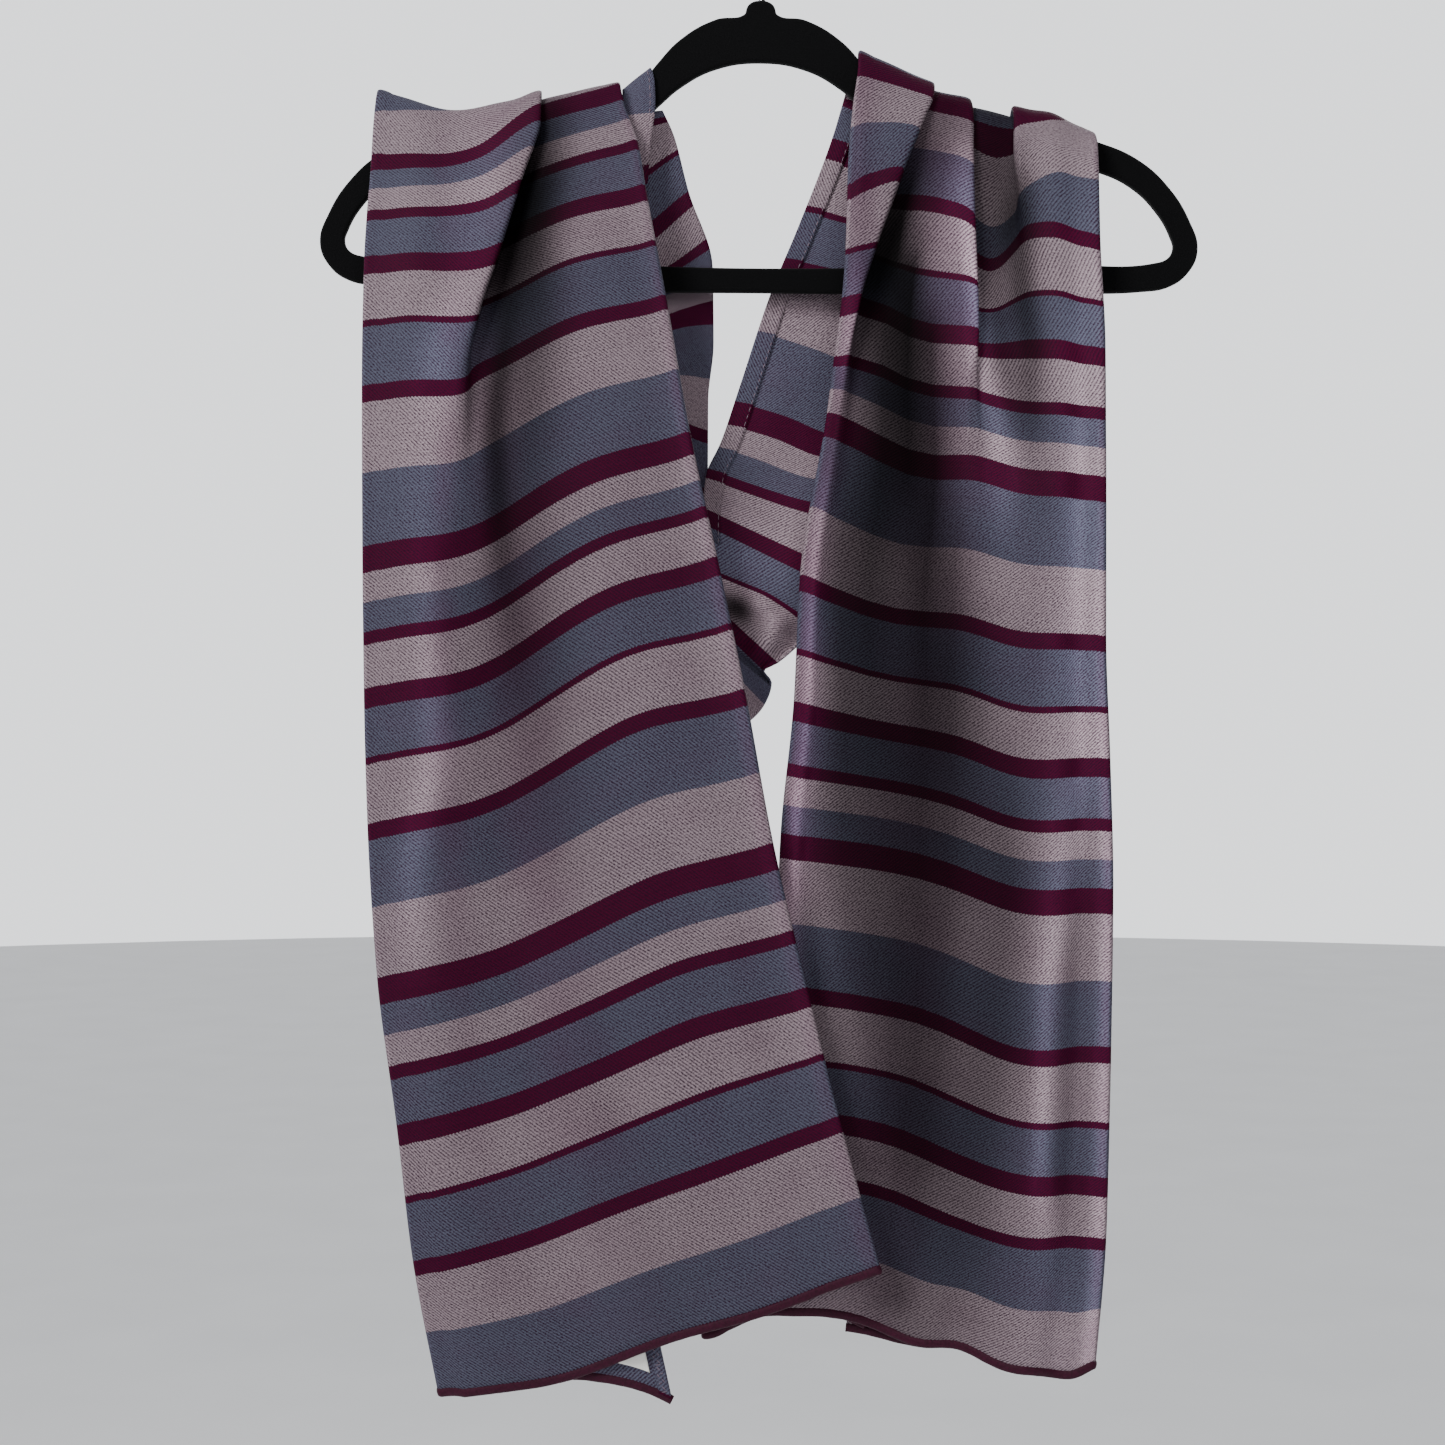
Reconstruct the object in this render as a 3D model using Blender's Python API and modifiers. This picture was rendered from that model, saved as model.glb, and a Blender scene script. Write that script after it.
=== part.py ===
# Striped woven scarf folded lengthwise in three and hung over a flocked coat hanger.
# Metres, +Z up, front towards -Y. The origin is the inner crown of the hook, where a rail carries it.
# Every table is in millimetres. Heights are measured down from the rail, so they are negative.
from math import cos, pi, radians, sin

import bmesh
import bpy
import numpy as np

mm = 0.001

# Cloth
wall = 1.2            # one layer of cloth
foldPitch = 3.4       # front layer to the flap behind it, at a fold
crownPitch = 2.0      # the same where the cloth lies over the arm
seamGap = 0.3         # between neighbouring pieces
backSeam = 1.2        # the same where the rows fan out round the loop
endHemHeight = 4.8    # rolled hem along both short ends
endHemWall = 2.2
sideHemWidth = 10.0   # turned hem along the long edges
sideHemWall = 1.0
labelWidth = 24.0
labelHeight = 14.0
labelWall = 0.8

# Hanger
hangerWall = 5.5      # thickness, front to back
hangerEase = 1.2      # rounding of its edges
hangerTip = 0.5       # degrees that it hangs out of level, left end up
wire = 3.6            # hook wire
hookRadius = 21.0     # inner radius of the hook
hookFoot = -118       # degrees round from its crown where the wire leaves the shank
hookPoint = 142       # degrees round to its point
hookSteps = 14
shankLength = 14.0    # straight wire above the frame
nubTop = -66.9        # where the wire enters the frame

# Left front, seen by the viewer: one row for each height, from the end hem up and over the arm.
# up: way up the cloth. leftX..rightY: the two long folds. early, late: how far the weft line
# hangs below its chord at 0.3 and 0.72 of the width. dip: the same in the recess between pleats.
# turn: degrees that the cloth has turned over the arm.
frontColumns = ("up", "leftX", "leftZ", "leftY", "rightX", "rightZ", "rightY", "early", "late", "dip", "turn")
leftFrontRows = (
    (0, -160.3, -765.2, -24, 58.2, -703.6, -30, 11.0, 4.0, 0, 0),
    (79, -173.1, -696.9, -25, 36.8, -624.9, -30, 5.5, 0.5, 0, 0),
    (140, -180.8, -631.0, -26, 21.4, -562.8, -30, 4.5, -4.0, 0, 0),
    (210, -190.2, -556.8, -28, 4.5, -490.7, -30, 6.0, -4.5, 0, 0),
    (283, -194.6, -481.6, -30, -9.4, -415.5, -29, 7.5, -6.5, 0, 0),
    (344, -196.0, -416.6, -32, -22.7, -351.5, -28, 9.5, -4.5, 0, 0),
    (415, -196.3, -344.8, -35, -36.5, -288.0, -29, 8.5, -3.0, 0, 0),
    (488, -196.1, -267.2, -37, -48.3, -221.0, -28, 9.0, -2.5, 0, 4),
    (549, -195.3, -205.1, -35, -58.4, -166.5, -23, 10.0, -1.0, 0, 16),
    (578, -194.6, -180.0, -31, -62.6, -141.4, -18, 10.0, 0, 0, 26),
    (606, -194.1, -157.0, -23, -69.5, -121.0, -12, 9.0, 0, 0, 40),
    (628, -194.0, -131.0, -14, -71.5, -112.0, -11.0, 11.0, 3.0, 2.0, 58),
    (648, -194.0, -111.5, 0, -72.0, -108.5, 0, 12.0, 6.0, 4.0, 90),
    (664, -193.8, -119.0, 10.0, -71.8, -113.0, 10.5, 6.0, 2.5, 1.0, 138),
    (676, -193.4, -131.0, 12.5, -71.0, -121.0, 12.5, 0, 0, 0, 180),
)

# Right front, by its own end hem.
rightFrontRows = (
    (0, -30.2, -738.6, -7, 165.4, -749.9, -18, -15.0, 8.0, 0, 0),
    (72, -16.3, -655.9, -7, 170.5, -687.7, -20, -6.0, 6.5, 0, 0),
    (103, -8.8, -624.0, -8, 171.3, -656.7, -21, -5.5, 6.5, 0, 0),
    (163, 6.2, -562.5, -9, 172.6, -592.5, -22, -2.0, 9.0, 0, 0),
    (242, 9.6, -486.6, -13, 173.5, -513.6, -23, -2.0, 7.0, 0, 0),
    (308, 16.0, -420.4, -18, 171.8, -448.7, -24, 2.0, 7.5, 0, 0),
    (368, 18.9, -358.5, -23, 169.6, -388.8, -25, 7.0, 6.0, 0, 0),
    (447, 32.2, -277.9, -24, 169.5, -309.8, -26, 10.0, 5.0, 0, 2),
    (482, 35.1, -250.0, -25, 169.3, -275.9, -26, 5.0, 4.0, 0, 4),
    (513, 38.1, -220.2, -24, 169.3, -245.8, -25, 4.0, 2.0, 5.0, 10),
    (573, 42.0, -165.1, -18, 167.8, -189.0, -18, -6.0, 0, 18.0, 26),
    (606, 45.5, -125.0, -14, 167.5, -152.0, -14, 0, 0, 9.0, 42),
    (628, 48.5, -103.0, -9.5, 167.2, -140.0, -11.5, 4.0, 0.5, 2.0, 64),
    (645, 49.0, -93.2, -0.5, 167.0, -134.0, -0.5, 5.5, 1.0, 0, 90),
    (658, 49.4, -97.7, 9.0, 167.0, -138.3, 10.0, 3.0, 0.5, 0, 138),
    (668, 49.8, -107.0, 12.0, 166.8, -146.0, 12.0, 0, 0, 0, 180),
)

# Pleats: at each height, where the fold lies across the width, its half width and its gather
# (all as fractions of the width), and the depth between the part in front and the part behind.
pleatColumns = ("up", "place", "half", "gather", "depth")
leftPleats = (
    ((0, 0.30, 0.10, 0, 0), (400, 0.32, 0.10, 0, 0), (488, 0.345, 0.09, 0.05, 5.0),
     (523, 0.38, 0.08, 0.085, 8.0), (549, 0.44, 0.08, 0.11, 8.5), (578, 0.50, 0.08, 0.14, 9.0),
     (606, 0.58, 0.08, 0.16, 8.5), (628, 0.59, 0.08, 0.16, 7.0), (648, 0.594, 0.08, 0.15, 6.5),
     (676, 0.594, 0.08, 0.13, 6.5)),
)
rightPleats = (
    ((0, 0.22, 0.07, 0, 0), (420, 0.09, 0.07, 0, 0), (482, 0.085, 0.06, 0.04, 4.5),
     (513, 0.10, 0.055, 0.06, 6.5), (543, 0.13, 0.055, 0.07, 7.5), (573, 0.175, 0.055, 0.08, 8.0),
     (606, 0.25, 0.055, 0.085, 7.0), (628, 0.28, 0.055, 0.08, 5.5), (645, 0.285, 0.055, 0.08, 5.0),
     (668, 0.285, 0.055, 0.075, 5.0)),
    ((0, 0.56, 0.06, 0, 0), (420, 0.56, 0.06, 0, 0), (482, 0.53, 0.06, 0.035, 4.0),
     (513, 0.51, 0.05, 0.05, 5.5), (573, 0.485, 0.05, 0.062, 6.5), (606, 0.468, 0.05, 0.066, 6.5),
     (628, 0.464, 0.05, 0.066, 5.5), (645, 0.462, 0.05, 0.064, 5.0), (668, 0.462, 0.05, 0.062, 5.0)),
    ((0, 0.70, 0.06, 0, 0), (513, 0.70, 0.06, 0, -1.0), (543, 0.69, 0.06, 0.03, -4.0),
     (573, 0.68, 0.05, 0.055, -6.5), (606, 0.68, 0.05, 0.064, -6.5), (628, 0.68, 0.05, 0.066, -5.5),
     (645, 0.68, 0.05, 0.064, -5.0), (668, 0.68, 0.05, 0.062, -5.0)),
)

# Long soft ridges (positive) and troughs (negative) that run down the cloth:
# place at the hem and at the shoulder, half width, height at the hem, halfway and at the shoulder.
ridgeColumns = ("hemPlace", "topPlace", "half", "hem", "middle", "top")
leftRidges = (
    (0.10, 0.20, 0.10, 4.0, 6.0, 0.5),
    (0.30, 0.42, 0.11, -5.0, -5.5, -1.0),
    (0.60, 0.72, 0.16, 4.0, 4.0, 2.0),
    (0.90, 0.95, 0.07, -2.5, -2.0, 0),
)
rightRidges = (
    (0.16, 0.12, 0.09, 2.0, 4.0, -0.5),
    (0.36, 0.34, 0.12, -4.0, -3.5, 0),
    (0.64, 0.60, 0.10, -5.0, -4.0, 0),
    (0.84, 0.84, 0.09, 5.0, 4.0, 2.0),
)

# Flaps behind each front: how far each reaches across the width, and how far its free edge
# hangs below the front hem.
flapColumns = ("leftReach", "rightReach", "leftDroop", "rightDroop")
leftFlaps = (0.53, 0.80, 27.0, -10.0)
rightFlaps = (0.42, 0.80, 3.0, -4.0)
flapSag = 5.0         # extra room behind the front, mid width
flapTurn = 30         # degrees over the arm past which only a narrow flap runs on
shoulderReach = 110.0 # rows are closer from here up to the crown
flapHang = 480.0      # way up at which the free edges no longer droop
flapReachIn = 14.0    # how far to each side a flap keeps clear of the front's deepest fold
flapLeave = 0.12      # share of the width in which a flap drops away behind the front
flapClear = 0.06      # the same for the room it leaves to a deep fold
flapsMeet = 0.16      # the right flap rises over this share before it passes behind the left one
flapsRise = 0.12
flapsApart = 3.6
droopPower = 4        # how late towards its free edge a flap droops
leftFlapColumns = 5
rightFlapColumns = 7
foldColumns = 3
lowRowCount = 14      # rows of a front below its shoulder
shoulderRowCount = 13

# Soft shapes of a weft line: the column it reads, its middle and its half width across the front.
weftDips = (("early", 0.30, 0.20), ("late", 0.72, 0.17), ("dip", 0.575, 0.09))
edgeFade = 0.06       # ridges and dips fade out in this share at both long folds
foldDrawIn = 0.05     # and the columns draw in to the fold's radius in this one
pleatSpread = 0.28    # a pleat's step in depth dies out at about this share to each side
foldCrease = 3.0      # how sharply a pleat gains its depth where it turns
softestPleat = 0.607  # gather over half width below which the cloth only waves
levelTurn = 60        # degrees over the arm from which a pleat steps along the weft line too

# The middle of the scarf, hanging behind the hanger from one shoulder to the other.
# cloth: way along the scarf from the left end. inner: the edge at the neck. outer: the low edge.
backColumns = ("cloth", "innerX", "innerZ", "innerY", "outerX", "outerZ", "outerY")
backRows = (
    (676, -50.5, -119.8, 7.5, -192.8, -131.5, 11.0),
    (706, -44.8, -132.0, 9.5, -192.0, -162.0, 15.0),
    (742, -37.2, -160.3, 12.0, -187.0, -210.0, 18.0),
    (790, -25.0, -198.5, 14.0, -176.0, -266.0, 20.0),
    (835, -24.5, -236.6, 16.0, -158.0, -317.0, 20.0),
    (872, -27.3, -266.1, 17.0, -136.0, -358.0, 19.0),
    (912, -27.5, -299.8, 18.0, -110.0, -392.0, 18.0),
    (950, -29.0, -332.0, 18.0, -84.0, -417.0, 17.0),
    (990, -32.0, -360.0, 17.0, -56.0, -434.0, 15.0),
    (1035, -34.0, -376.0, 9.0, -30.0, -440.0, 12.0),
    (1072, -30.0, -368.0, 1.0, -9.0, -427.0, 9.0),
    (1100, -29.0, -355.0, 0, 8.0, -405.0, 7.0),
    (1133, -30.0, -338.0, 1.0, 27.0, -384.0, 5.0),
    (1165, -30.0, -321.0, 3.0, 50.0, -361.0, 9.0),
    (1193, -28.4, -306.3, 5.0, 72.0, -330.0, 12.0),
    (1222, -20.8, -288.8, 7.0, 92.0, -300.0, 15.0),
    (1255, -11.1, -259.9, 9.0, 115.0, -266.0, 17.0),
    (1300, 4.8, -212.1, 10.0, 143.3, -219.5, 18.0),
    (1340, 18.5, -179.0, 11.0, 158.6, -184.0, 17.0),
    (1385, 36.5, -132.0, 10.0, 166.0, -154.0, 12.0),
    (1408, 44.0, -106.2, 9.0, 166.8, -147.1, 9.0),
)
leftBackSpan = (676, 960)
loopSpan = (960, 1165)
rightBackSpan = (1165, 1408)
sideHemSpan = (1150, 1396)
backFlap = 28.0       # flap turned forward along the low edge
backFlapShare = 0.45  # at most this share of the width
backFlapLift = 1.5    # how far its free edge stands off
backEase = 40.0       # swells fade out in this length at both shoulders
backColumnCount = 11
backRowCount = 14
loopRowCount = 12
sideHemRowCount = 26

# Swells of the back: along the scarf, across it, their half lengths, and how far forward they stand.
swellColumns = ("cloth", "across", "alongHalf", "acrossHalf", "forward")
backSwells = (
    (760, 0.45, 70, 0.22, -5.0),
    (850, 0.70, 80, 0.18, 4.0),
    (900, 0.25, 60, 0.16, -4.0),
    (1030, 0.55, 40, 0.25, 6.0),
    (1120, 0.66, 26, 0.20, 8.0),
    (1098, 0.26, 22, 0.16, -7.0),
    (1230, 0.40, 60, 0.20, -4.0),
    (1320, 0.65, 60, 0.20, 4.0),
)

# The inner layer that shows beside the neck end of the left shoulder and runs on under it.
neckColumns = ("up", "leftX", "leftZ", "rightX", "rightZ", "y", "turn")
neckRows = (
    (0, -70.0, -163.0, -57.6, -160.0, -5.0, 0),
    (20, -72.0, -144.0, -56.3, -142.0, -4.9, 0),
    (45, -72.0, -122.0, -53.8, -119.0, -4.7, 0),
    (60, -70.4, -115.6, -54.3, -108.0, -4.4, 25),
    (68, -70.4, -112.8, -56.0, -101.6, -3.0, 60),
    (72, -70.4, -112.2, -56.6, -101.0, 0, 90),
    (78, -70.4, -113.4, -56.8, -104.0, 4.0, 140),
    (84, -70.4, -117.4, -56.0, -108.0, 4.8, 175),
)
neckUnder = 18.0      # how far it runs on under the shoulder
neckRowCount = 14

# Label on the wrong side of the left flap: above the end hem, and in from the flap's free edge.
labelUp = 6.5
labelIn = 9.0
labelFlapColumns = 48  # fine columns that it is laid on

# Half outlines of the hanger frame (x, z) from the top of the neck arch round to the middle of the bar.
outerOutline = (
    (0, -66.9), (4.8, -68.2), (7.4, -73.4), (22.8, -76.6), (40.0, -86.4), (52.5, -99.6),
    (61.0, -110.6), (71.0, -116.4), (101.0, -122.6), (136.5, -129.8), (172.0, -138.2),
    (192.5, -147.2), (207.5, -160.8),
    (217.6, -177.0), (221.8, -191.0), (217.6, -201.6), (208.5, -208.4), (194.8, -210.9),
    (150.0, -212.0), (75.0, -213.8), (0, -214.3),
)
innerOutline = (
    (0, -97.9), (22.8, -101.4), (40.0, -110.5), (50.6, -119.6), (60.0, -128.2), (75.0, -132.0),
    (101.0, -136.6), (136.5, -143.2), (171.0, -150.4), (187.2, -158.0), (199.9, -170.0),
    (207.9, -183.6), (209.4, -189.8), (206.4, -195.8), (198.2, -199.0), (150.0, -200.0),
    (75.0, -201.6), (0, -202.1),
)
armEnd = 14           # points of the outer outline from the neck arch to the arm's tip
hangerMiddle = -150.0 # height from which the outlines are drawn in for the rounding

# sRGB colours
burgundyDye = (0x4b, 0x14, 0x2d)
slateDye = (0x5f, 0x64, 0x7d)
stoneDye = (0x96, 0x8a, 0x8a)
flockBlack = (0x0b, 0x0b, 0x0c)
chromeSteel = (0xc4, 0xc6, 0xc8)
labelWhite = (0xe6, 0xe4, 0xe0)


def clearScene():
    for old in list(bpy.data.objects):
        bpy.data.objects.remove(old, do_unlink=True)


def linear(rgb):
    channels = []
    for value in rgb:
        share = value / 255
        channels.append(share / 12.92 if share <= 0.04045 else ((share + 0.055) / 1.055) ** 2.4)
    return (*channels, 1.0)


def plainMaterial(name, rgb, roughness, metallic=0.0):
    material = bpy.data.materials.new(name)
    material.use_nodes = True
    shader = material.node_tree.nodes["Principled BSDF"]
    shader.inputs["Base Color"].default_value = linear(rgb)
    shader.inputs["Roughness"].default_value = roughness
    shader.inputs["Metallic"].default_value = metallic
    return material


def readTable(columns, rows, at):
    # Smooth curve through the rows: a cubic whose slope at a row is never steeper than its
    # gentler neighbour allows, so it does not overshoot.
    keys = np.array([row[0] for row in rows], float)
    values = np.array([row[1:] for row in rows], float)
    at = min(max(at, keys[0]), keys[-1])
    steps = np.diff(keys)
    rises = np.diff(values, axis=0) / steps[:, None]
    slopes = np.zeros_like(values)
    slopes[0] = rises[0]
    slopes[-1] = rises[-1]
    for i in range(1, len(keys) - 1):
        same = rises[i - 1] * rises[i] > 0
        mean = 2 * rises[i - 1] * rises[i] / np.where(same, rises[i - 1] + rises[i], 1)
        slopes[i] = np.where(same, mean, 0)
    i = min(max(int(np.searchsorted(keys, at, side="right")) - 1, 0), len(steps) - 1)
    t = (at - keys[i]) / steps[i]
    found = (
        (2 * t**3 - 3 * t**2 + 1) * values[i]
        + (t**3 - 2 * t**2 + t) * steps[i] * slopes[i]
        + (3 * t**2 - 2 * t**3) * values[i + 1]
        + (t**3 - t**2) * steps[i] * slopes[i + 1]
    )
    return dict(zip(columns[1:], found))


def hump(t):
    return np.exp(-t * t)


def foldShift(t):
    # Sideways travel through a pleat: +1 before its middle, -1 after it.
    return -t * np.exp(0.5 * (1 - t * t))


def foldTurn(fold):
    # Where the cloth turns back in a pleat, in half widths from its middle. Zero for a soft wave.
    ratio = max(fold["gather"] / fold["half"], softestPleat)
    u = 1.0
    for _ in range(30):
        u = np.exp(-u / 2) / ratio
    return float(np.sqrt(max(1 - u, 0.0)))


def foldStep(t, turn):
    # Depth through a pleat, from 0 in front to 1 behind, gained where the cloth turns back.
    return 0.25 * (2 + np.tanh(foldCrease * (t + turn)) + np.tanh(foldCrease * (t - turn)))


def columnPlaces(panel, up):
    # Columns crowd at the turns of each pleat and spread evenly between the pleats.
    places = [0.0]
    folds = [readTable(pleatColumns, pleat, up) for pleat in panel["pleats"]]
    for fold, between in zip(folds, panel["between"]):
        turn = max(foldTurn(fold), 0.4)
        after = [turn * share for share in panel["rounding"]] + [turn, turn + 0.4]
        block = [fold["place"] + fold["half"] * t for t in [-t for t in reversed(after)] + [0] + after]
        places += list(np.linspace(places[-1], block[0], between + 1)[1:-1]) + block
    return np.array(places + list(np.linspace(places[-1], 1.0, panel["between"][-1] + 1)[1:]))


def weftFall(row, across):
    # How far a weft line hangs below the chord between its two folds.
    fall = np.zeros_like(across)
    for name, middle, half in weftDips:
        fall = fall + row[name] * hump((across - middle) / half)
    return fall


def frontLayer(panel, up, q):
    # One weft line of a front: q runs from the left fold (0) to the right fold (1).
    # Returns x, z, the depth behind the row's own plane, that plane's y, and its turn over the arm.
    row = readTable(frontColumns, panel["rows"], up)
    across = q.copy()
    behind = np.zeros_like(q)
    for pleat in panel["pleats"]:
        fold = readTable(pleatColumns, pleat, up)
        t = (q - fold["place"]) / fold["half"]
        across = across + fold["gather"] * foldShift(t)
        step = foldStep(t, foldTurn(fold)) - 0.5
        behind = behind + fold["depth"] * step * hump((q - fold["place"]) / pleatSpread)
    share = min(up / panel["crown"], 1.0)
    fade = np.clip(np.minimum(q, 1 - q) / edgeFade, 0, 1)
    for line in panel["ridges"]:
        ridge = dict(zip(ridgeColumns, line))
        place = ridge["hemPlace"] + (ridge["topPlace"] - ridge["hemPlace"]) * share
        height = np.interp(share, (0, 0.5, 1), (ridge["hem"], ridge["middle"], ridge["top"]))
        behind = behind - height * hump((across - place) / ridge["half"]) * fade
    level = q + (across - q) * min(row["turn"] / levelTurn, 1.0)
    x = row["leftX"] + (row["rightX"] - row["leftX"]) * across
    z = row["leftZ"] + (row["rightZ"] - row["leftZ"]) * level - weftFall(row, level) * fade
    plane = row["leftY"] + (row["rightY"] - row["leftY"]) * level
    return x, z, behind, plane, radians(row["turn"])


def frontSection(panel, up, leftCount=None):
    # Points round one weft line: left flap from its free edge, left fold, front, right fold, right flap.
    flaps = dict(zip(flapColumns, panel["flaps"]))
    leftCount = leftCount or leftFlapColumns
    fine = np.linspace(0, 1, 201)
    fx, fz, fBehind, fPlane, turn = frontLayer(panel, up, fine)
    width = fx[-1] - fx[0]
    over = min(max(turn / radians(flapTurn) - 1, 0.0), 1.0)
    pitch = foldPitch + (crownPitch - foldPitch) * over
    radius = pitch / 2
    hang = max(0.0, 1 - up / flapHang)
    points = []

    def place(x, z, plane, inward):
        points.append((x, plane + inward * cos(turn), z - inward * sin(turn)))

    def flapPoint(fraction, fromFold, reach, droop, extra):
        x = fx[0] + width * fraction
        near = np.abs(fx - x) < flapReachIn
        clear = fBehind[near].max() + foldPitch
        room = pitch + flapSag * min(1.0, fromFold / flapLeave) + extra
        inward = room + (max(room, clear + extra) - room) * min(1.0, fromFold / flapClear)
        inward = inward + (pitch + fBehind[0 if fraction < 0.5 else -1] - inward) * over
        z = np.interp(fraction, fine, levelZ) - droop * hang * (fromFold / reach) ** droopPower
        place(x, z, np.interp(fraction, fine, fPlane), inward)

    row = readTable(frontColumns, panel["rows"], up)
    levelZ = row["leftZ"] + (row["rightZ"] - row["leftZ"]) * fine - weftFall(row, fine)
    edge = radius / width
    for i in range(leftCount, 0, -1):
        fromFold = (flaps["leftReach"] - edge) * i / leftCount
        flapPoint(edge + fromFold, fromFold, flaps["leftReach"], flaps["leftDroop"], 0)
    for i in range(foldColumns, 0, -1):
        angle = pi * i / foldColumns
        x = fx[0] + radius * (1 - sin(angle))
        place(x, fz[0], fPlane[0], fBehind[0] + radius * (1 - cos(angle)))
    q = columnPlaces(panel, up)
    x, z, behind, plane, turn = frontLayer(panel, up, q)
    inset = radius * (np.clip(1 - q / foldDrawIn, 0, 1) - np.clip(1 - (1 - q) / foldDrawIn, 0, 1))
    for i in range(len(q)):
        place(x[i] + inset[i], z[i], plane[i], behind[i])
    for i in range(1, foldColumns + 1):
        angle = pi * i / foldColumns
        place(fx[-1] - radius * (1 - sin(angle)), fz[-1], fPlane[-1], fBehind[-1] + radius * (1 - cos(angle)))
    for i in range(1, rightFlapColumns + 1):
        fromFold = (flaps["rightReach"] - edge) * i / rightFlapColumns
        fraction = 1 - edge - fromFold
        under = np.clip((flaps["leftReach"] + flapsMeet - fraction) / flapsRise, 0, 1)
        flapPoint(fraction, fromFold, flaps["rightReach"], flaps["rightDroop"], flapsApart * under)
    return points


def backPoint(cloth, across, lift=0.0):
    # A point of the back: across runs from the neck edge (0) to the low edge (1).
    row = readTable(backColumns, backRows, cloth)
    inner = np.array((row["innerX"], row["innerY"], row["innerZ"]))
    outer = np.array((row["outerX"], row["outerY"], row["outerZ"]))
    point = inner + (outer - inner) * across
    ease = min(1.0, (cloth - backRows[0][0]) / backEase, (backRows[-1][0] - cloth) / backEase)
    for line in backSwells:
        swell = dict(zip(swellColumns, line))
        along = hump((cloth - swell["cloth"]) / swell["alongHalf"])
        size = along * hump((across - swell["across"]) / swell["acrossHalf"])
        point[1] -= swell["forward"] * size * max(0.0, ease)
    point[1] -= lift
    return point


def backSection(cloth):
    # Neck edge, across, round the low fold, and the flap turned forward behind it.
    points = [tuple(backPoint(cloth, share)) for share in stations(0, 1, backColumnCount)]
    row = readTable(backColumns, backRows, cloth)
    along = np.array((row["outerX"] - row["innerX"], 0, row["outerZ"] - row["innerZ"]))
    along = along / np.linalg.norm(along)
    edge = np.array(points[-1])
    radius = foldPitch / 2
    for angle in (pi / 3, 2 * pi / 3, pi):
        turned = edge + along * radius * sin(angle) + np.array((0, -radius * (1 - cos(angle)), 0))
        points.append(tuple(turned))
    width = np.linalg.norm(np.array(points[0]) - edge)
    reach = min(backFlap, width * backFlapShare)
    for share in (0.35, 0.7, 1.0):
        level = backPoint(cloth, 1 - share * reach / width, foldPitch + backFlapLift * share)
        points.append(tuple(level))
    return points


def sheetObject(name, rows, thickness, material, skip=None):
    # A grid moved onto rows of points, then given its thickness. Skip leaves a cell open.
    down = len(rows) - 1
    across = len(rows[0]) - 1
    mesh = bmesh.new()
    bmesh.ops.create_grid(mesh, x_segments=across, y_segments=down, size=1.0)
    home = {}
    for vertex in mesh.verts:
        i = round((vertex.co.x + 1) / 2 * across)
        j = round((vertex.co.y + 1) / 2 * down)
        home[vertex] = (i, j)
    for vertex, (i, j) in home.items():
        vertex.co = [value * mm for value in rows[j][i]]
    if skip:
        spare = []
        for face in mesh.faces:
            column = min(home[vertex][0] for vertex in face.verts)
            line = min(home[vertex][1] for vertex in face.verts)
            if skip(column, line):
                spare.append(face)
        bmesh.ops.delete(mesh, geom=spare, context="FACES")
    data = bpy.data.meshes.new(name)
    mesh.to_mesh(data)
    mesh.free()
    data.shade_smooth()
    sheet = bpy.data.objects.new(name, data)
    solidify = sheet.modifiers.new("cloth wall", "SOLIDIFY")
    solidify.thickness = thickness * mm
    solidify.offset = 0
    sheet.data.materials.append(material)
    scarf.objects.link(sheet)
    return sheet


def stations(first, last, count):
    return [first + (last - first) * i / count for i in range(count + 1)]


def frontRowsFor(panel):
    # More rows over the arm, where the cloth turns.
    shoulder = panel["crown"] - shoulderReach
    low = stations(endHemHeight + seamGap, shoulder, lowRowCount)
    high = stations(shoulder, panel["rows"][-1][0], shoulderRowCount)
    return low + high[1:]


def makeFront(name, panel, material):
    ups = frontRowsFor(panel)
    rows = [frontSection(panel, up) for up in ups]
    lastColumn = len(rows[0]) - 2

    def beyondFlaps(column, line):
        turned = readTable(frontColumns, panel["rows"], ups[line])["turn"] > flapTurn
        return turned and (column < leftFlapColumns - 1 or column > lastColumn - rightFlapColumns + 1)

    return sheetObject(name, rows, wall, material, beyondFlaps)


def makeEndHem(name, panel, material):
    ups = (0, endHemHeight)
    return sheetObject(name, [frontSection(panel, up) for up in ups], endHemWall, material)


def makeBack(name, span, rowCount, material):
    first = span[0] + backSeam / 2
    last = span[1] - backSeam / 2
    rows = [backSection(cloth) for cloth in stations(first, last, rowCount)]
    return sheetObject(name, rows, wall, material)


def makeSideHem(name, material):
    # Turned hem on the wrong side, along the neck edge of the right back.
    lift = wall / 2 + seamGap + sideHemWall / 2
    rows = []
    for cloth in stations(*sideHemSpan, sideHemRowCount):
        width = np.linalg.norm(backPoint(cloth, 0) - backPoint(cloth, 1))
        rows.append([tuple(backPoint(cloth, share * sideHemWidth / width, lift)) for share in (0.04, 0.5, 1.0)])
    return sheetObject(name, rows, sideHemWall, material)


def armTop(x):
    # Height of the hanger's upper edge, as it hangs tipped.
    half = np.array(outerOutline[:armEnd])
    return np.interp(abs(x), half[:, 0], half[:, 1]) - x * sin(radians(hangerTip))


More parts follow.
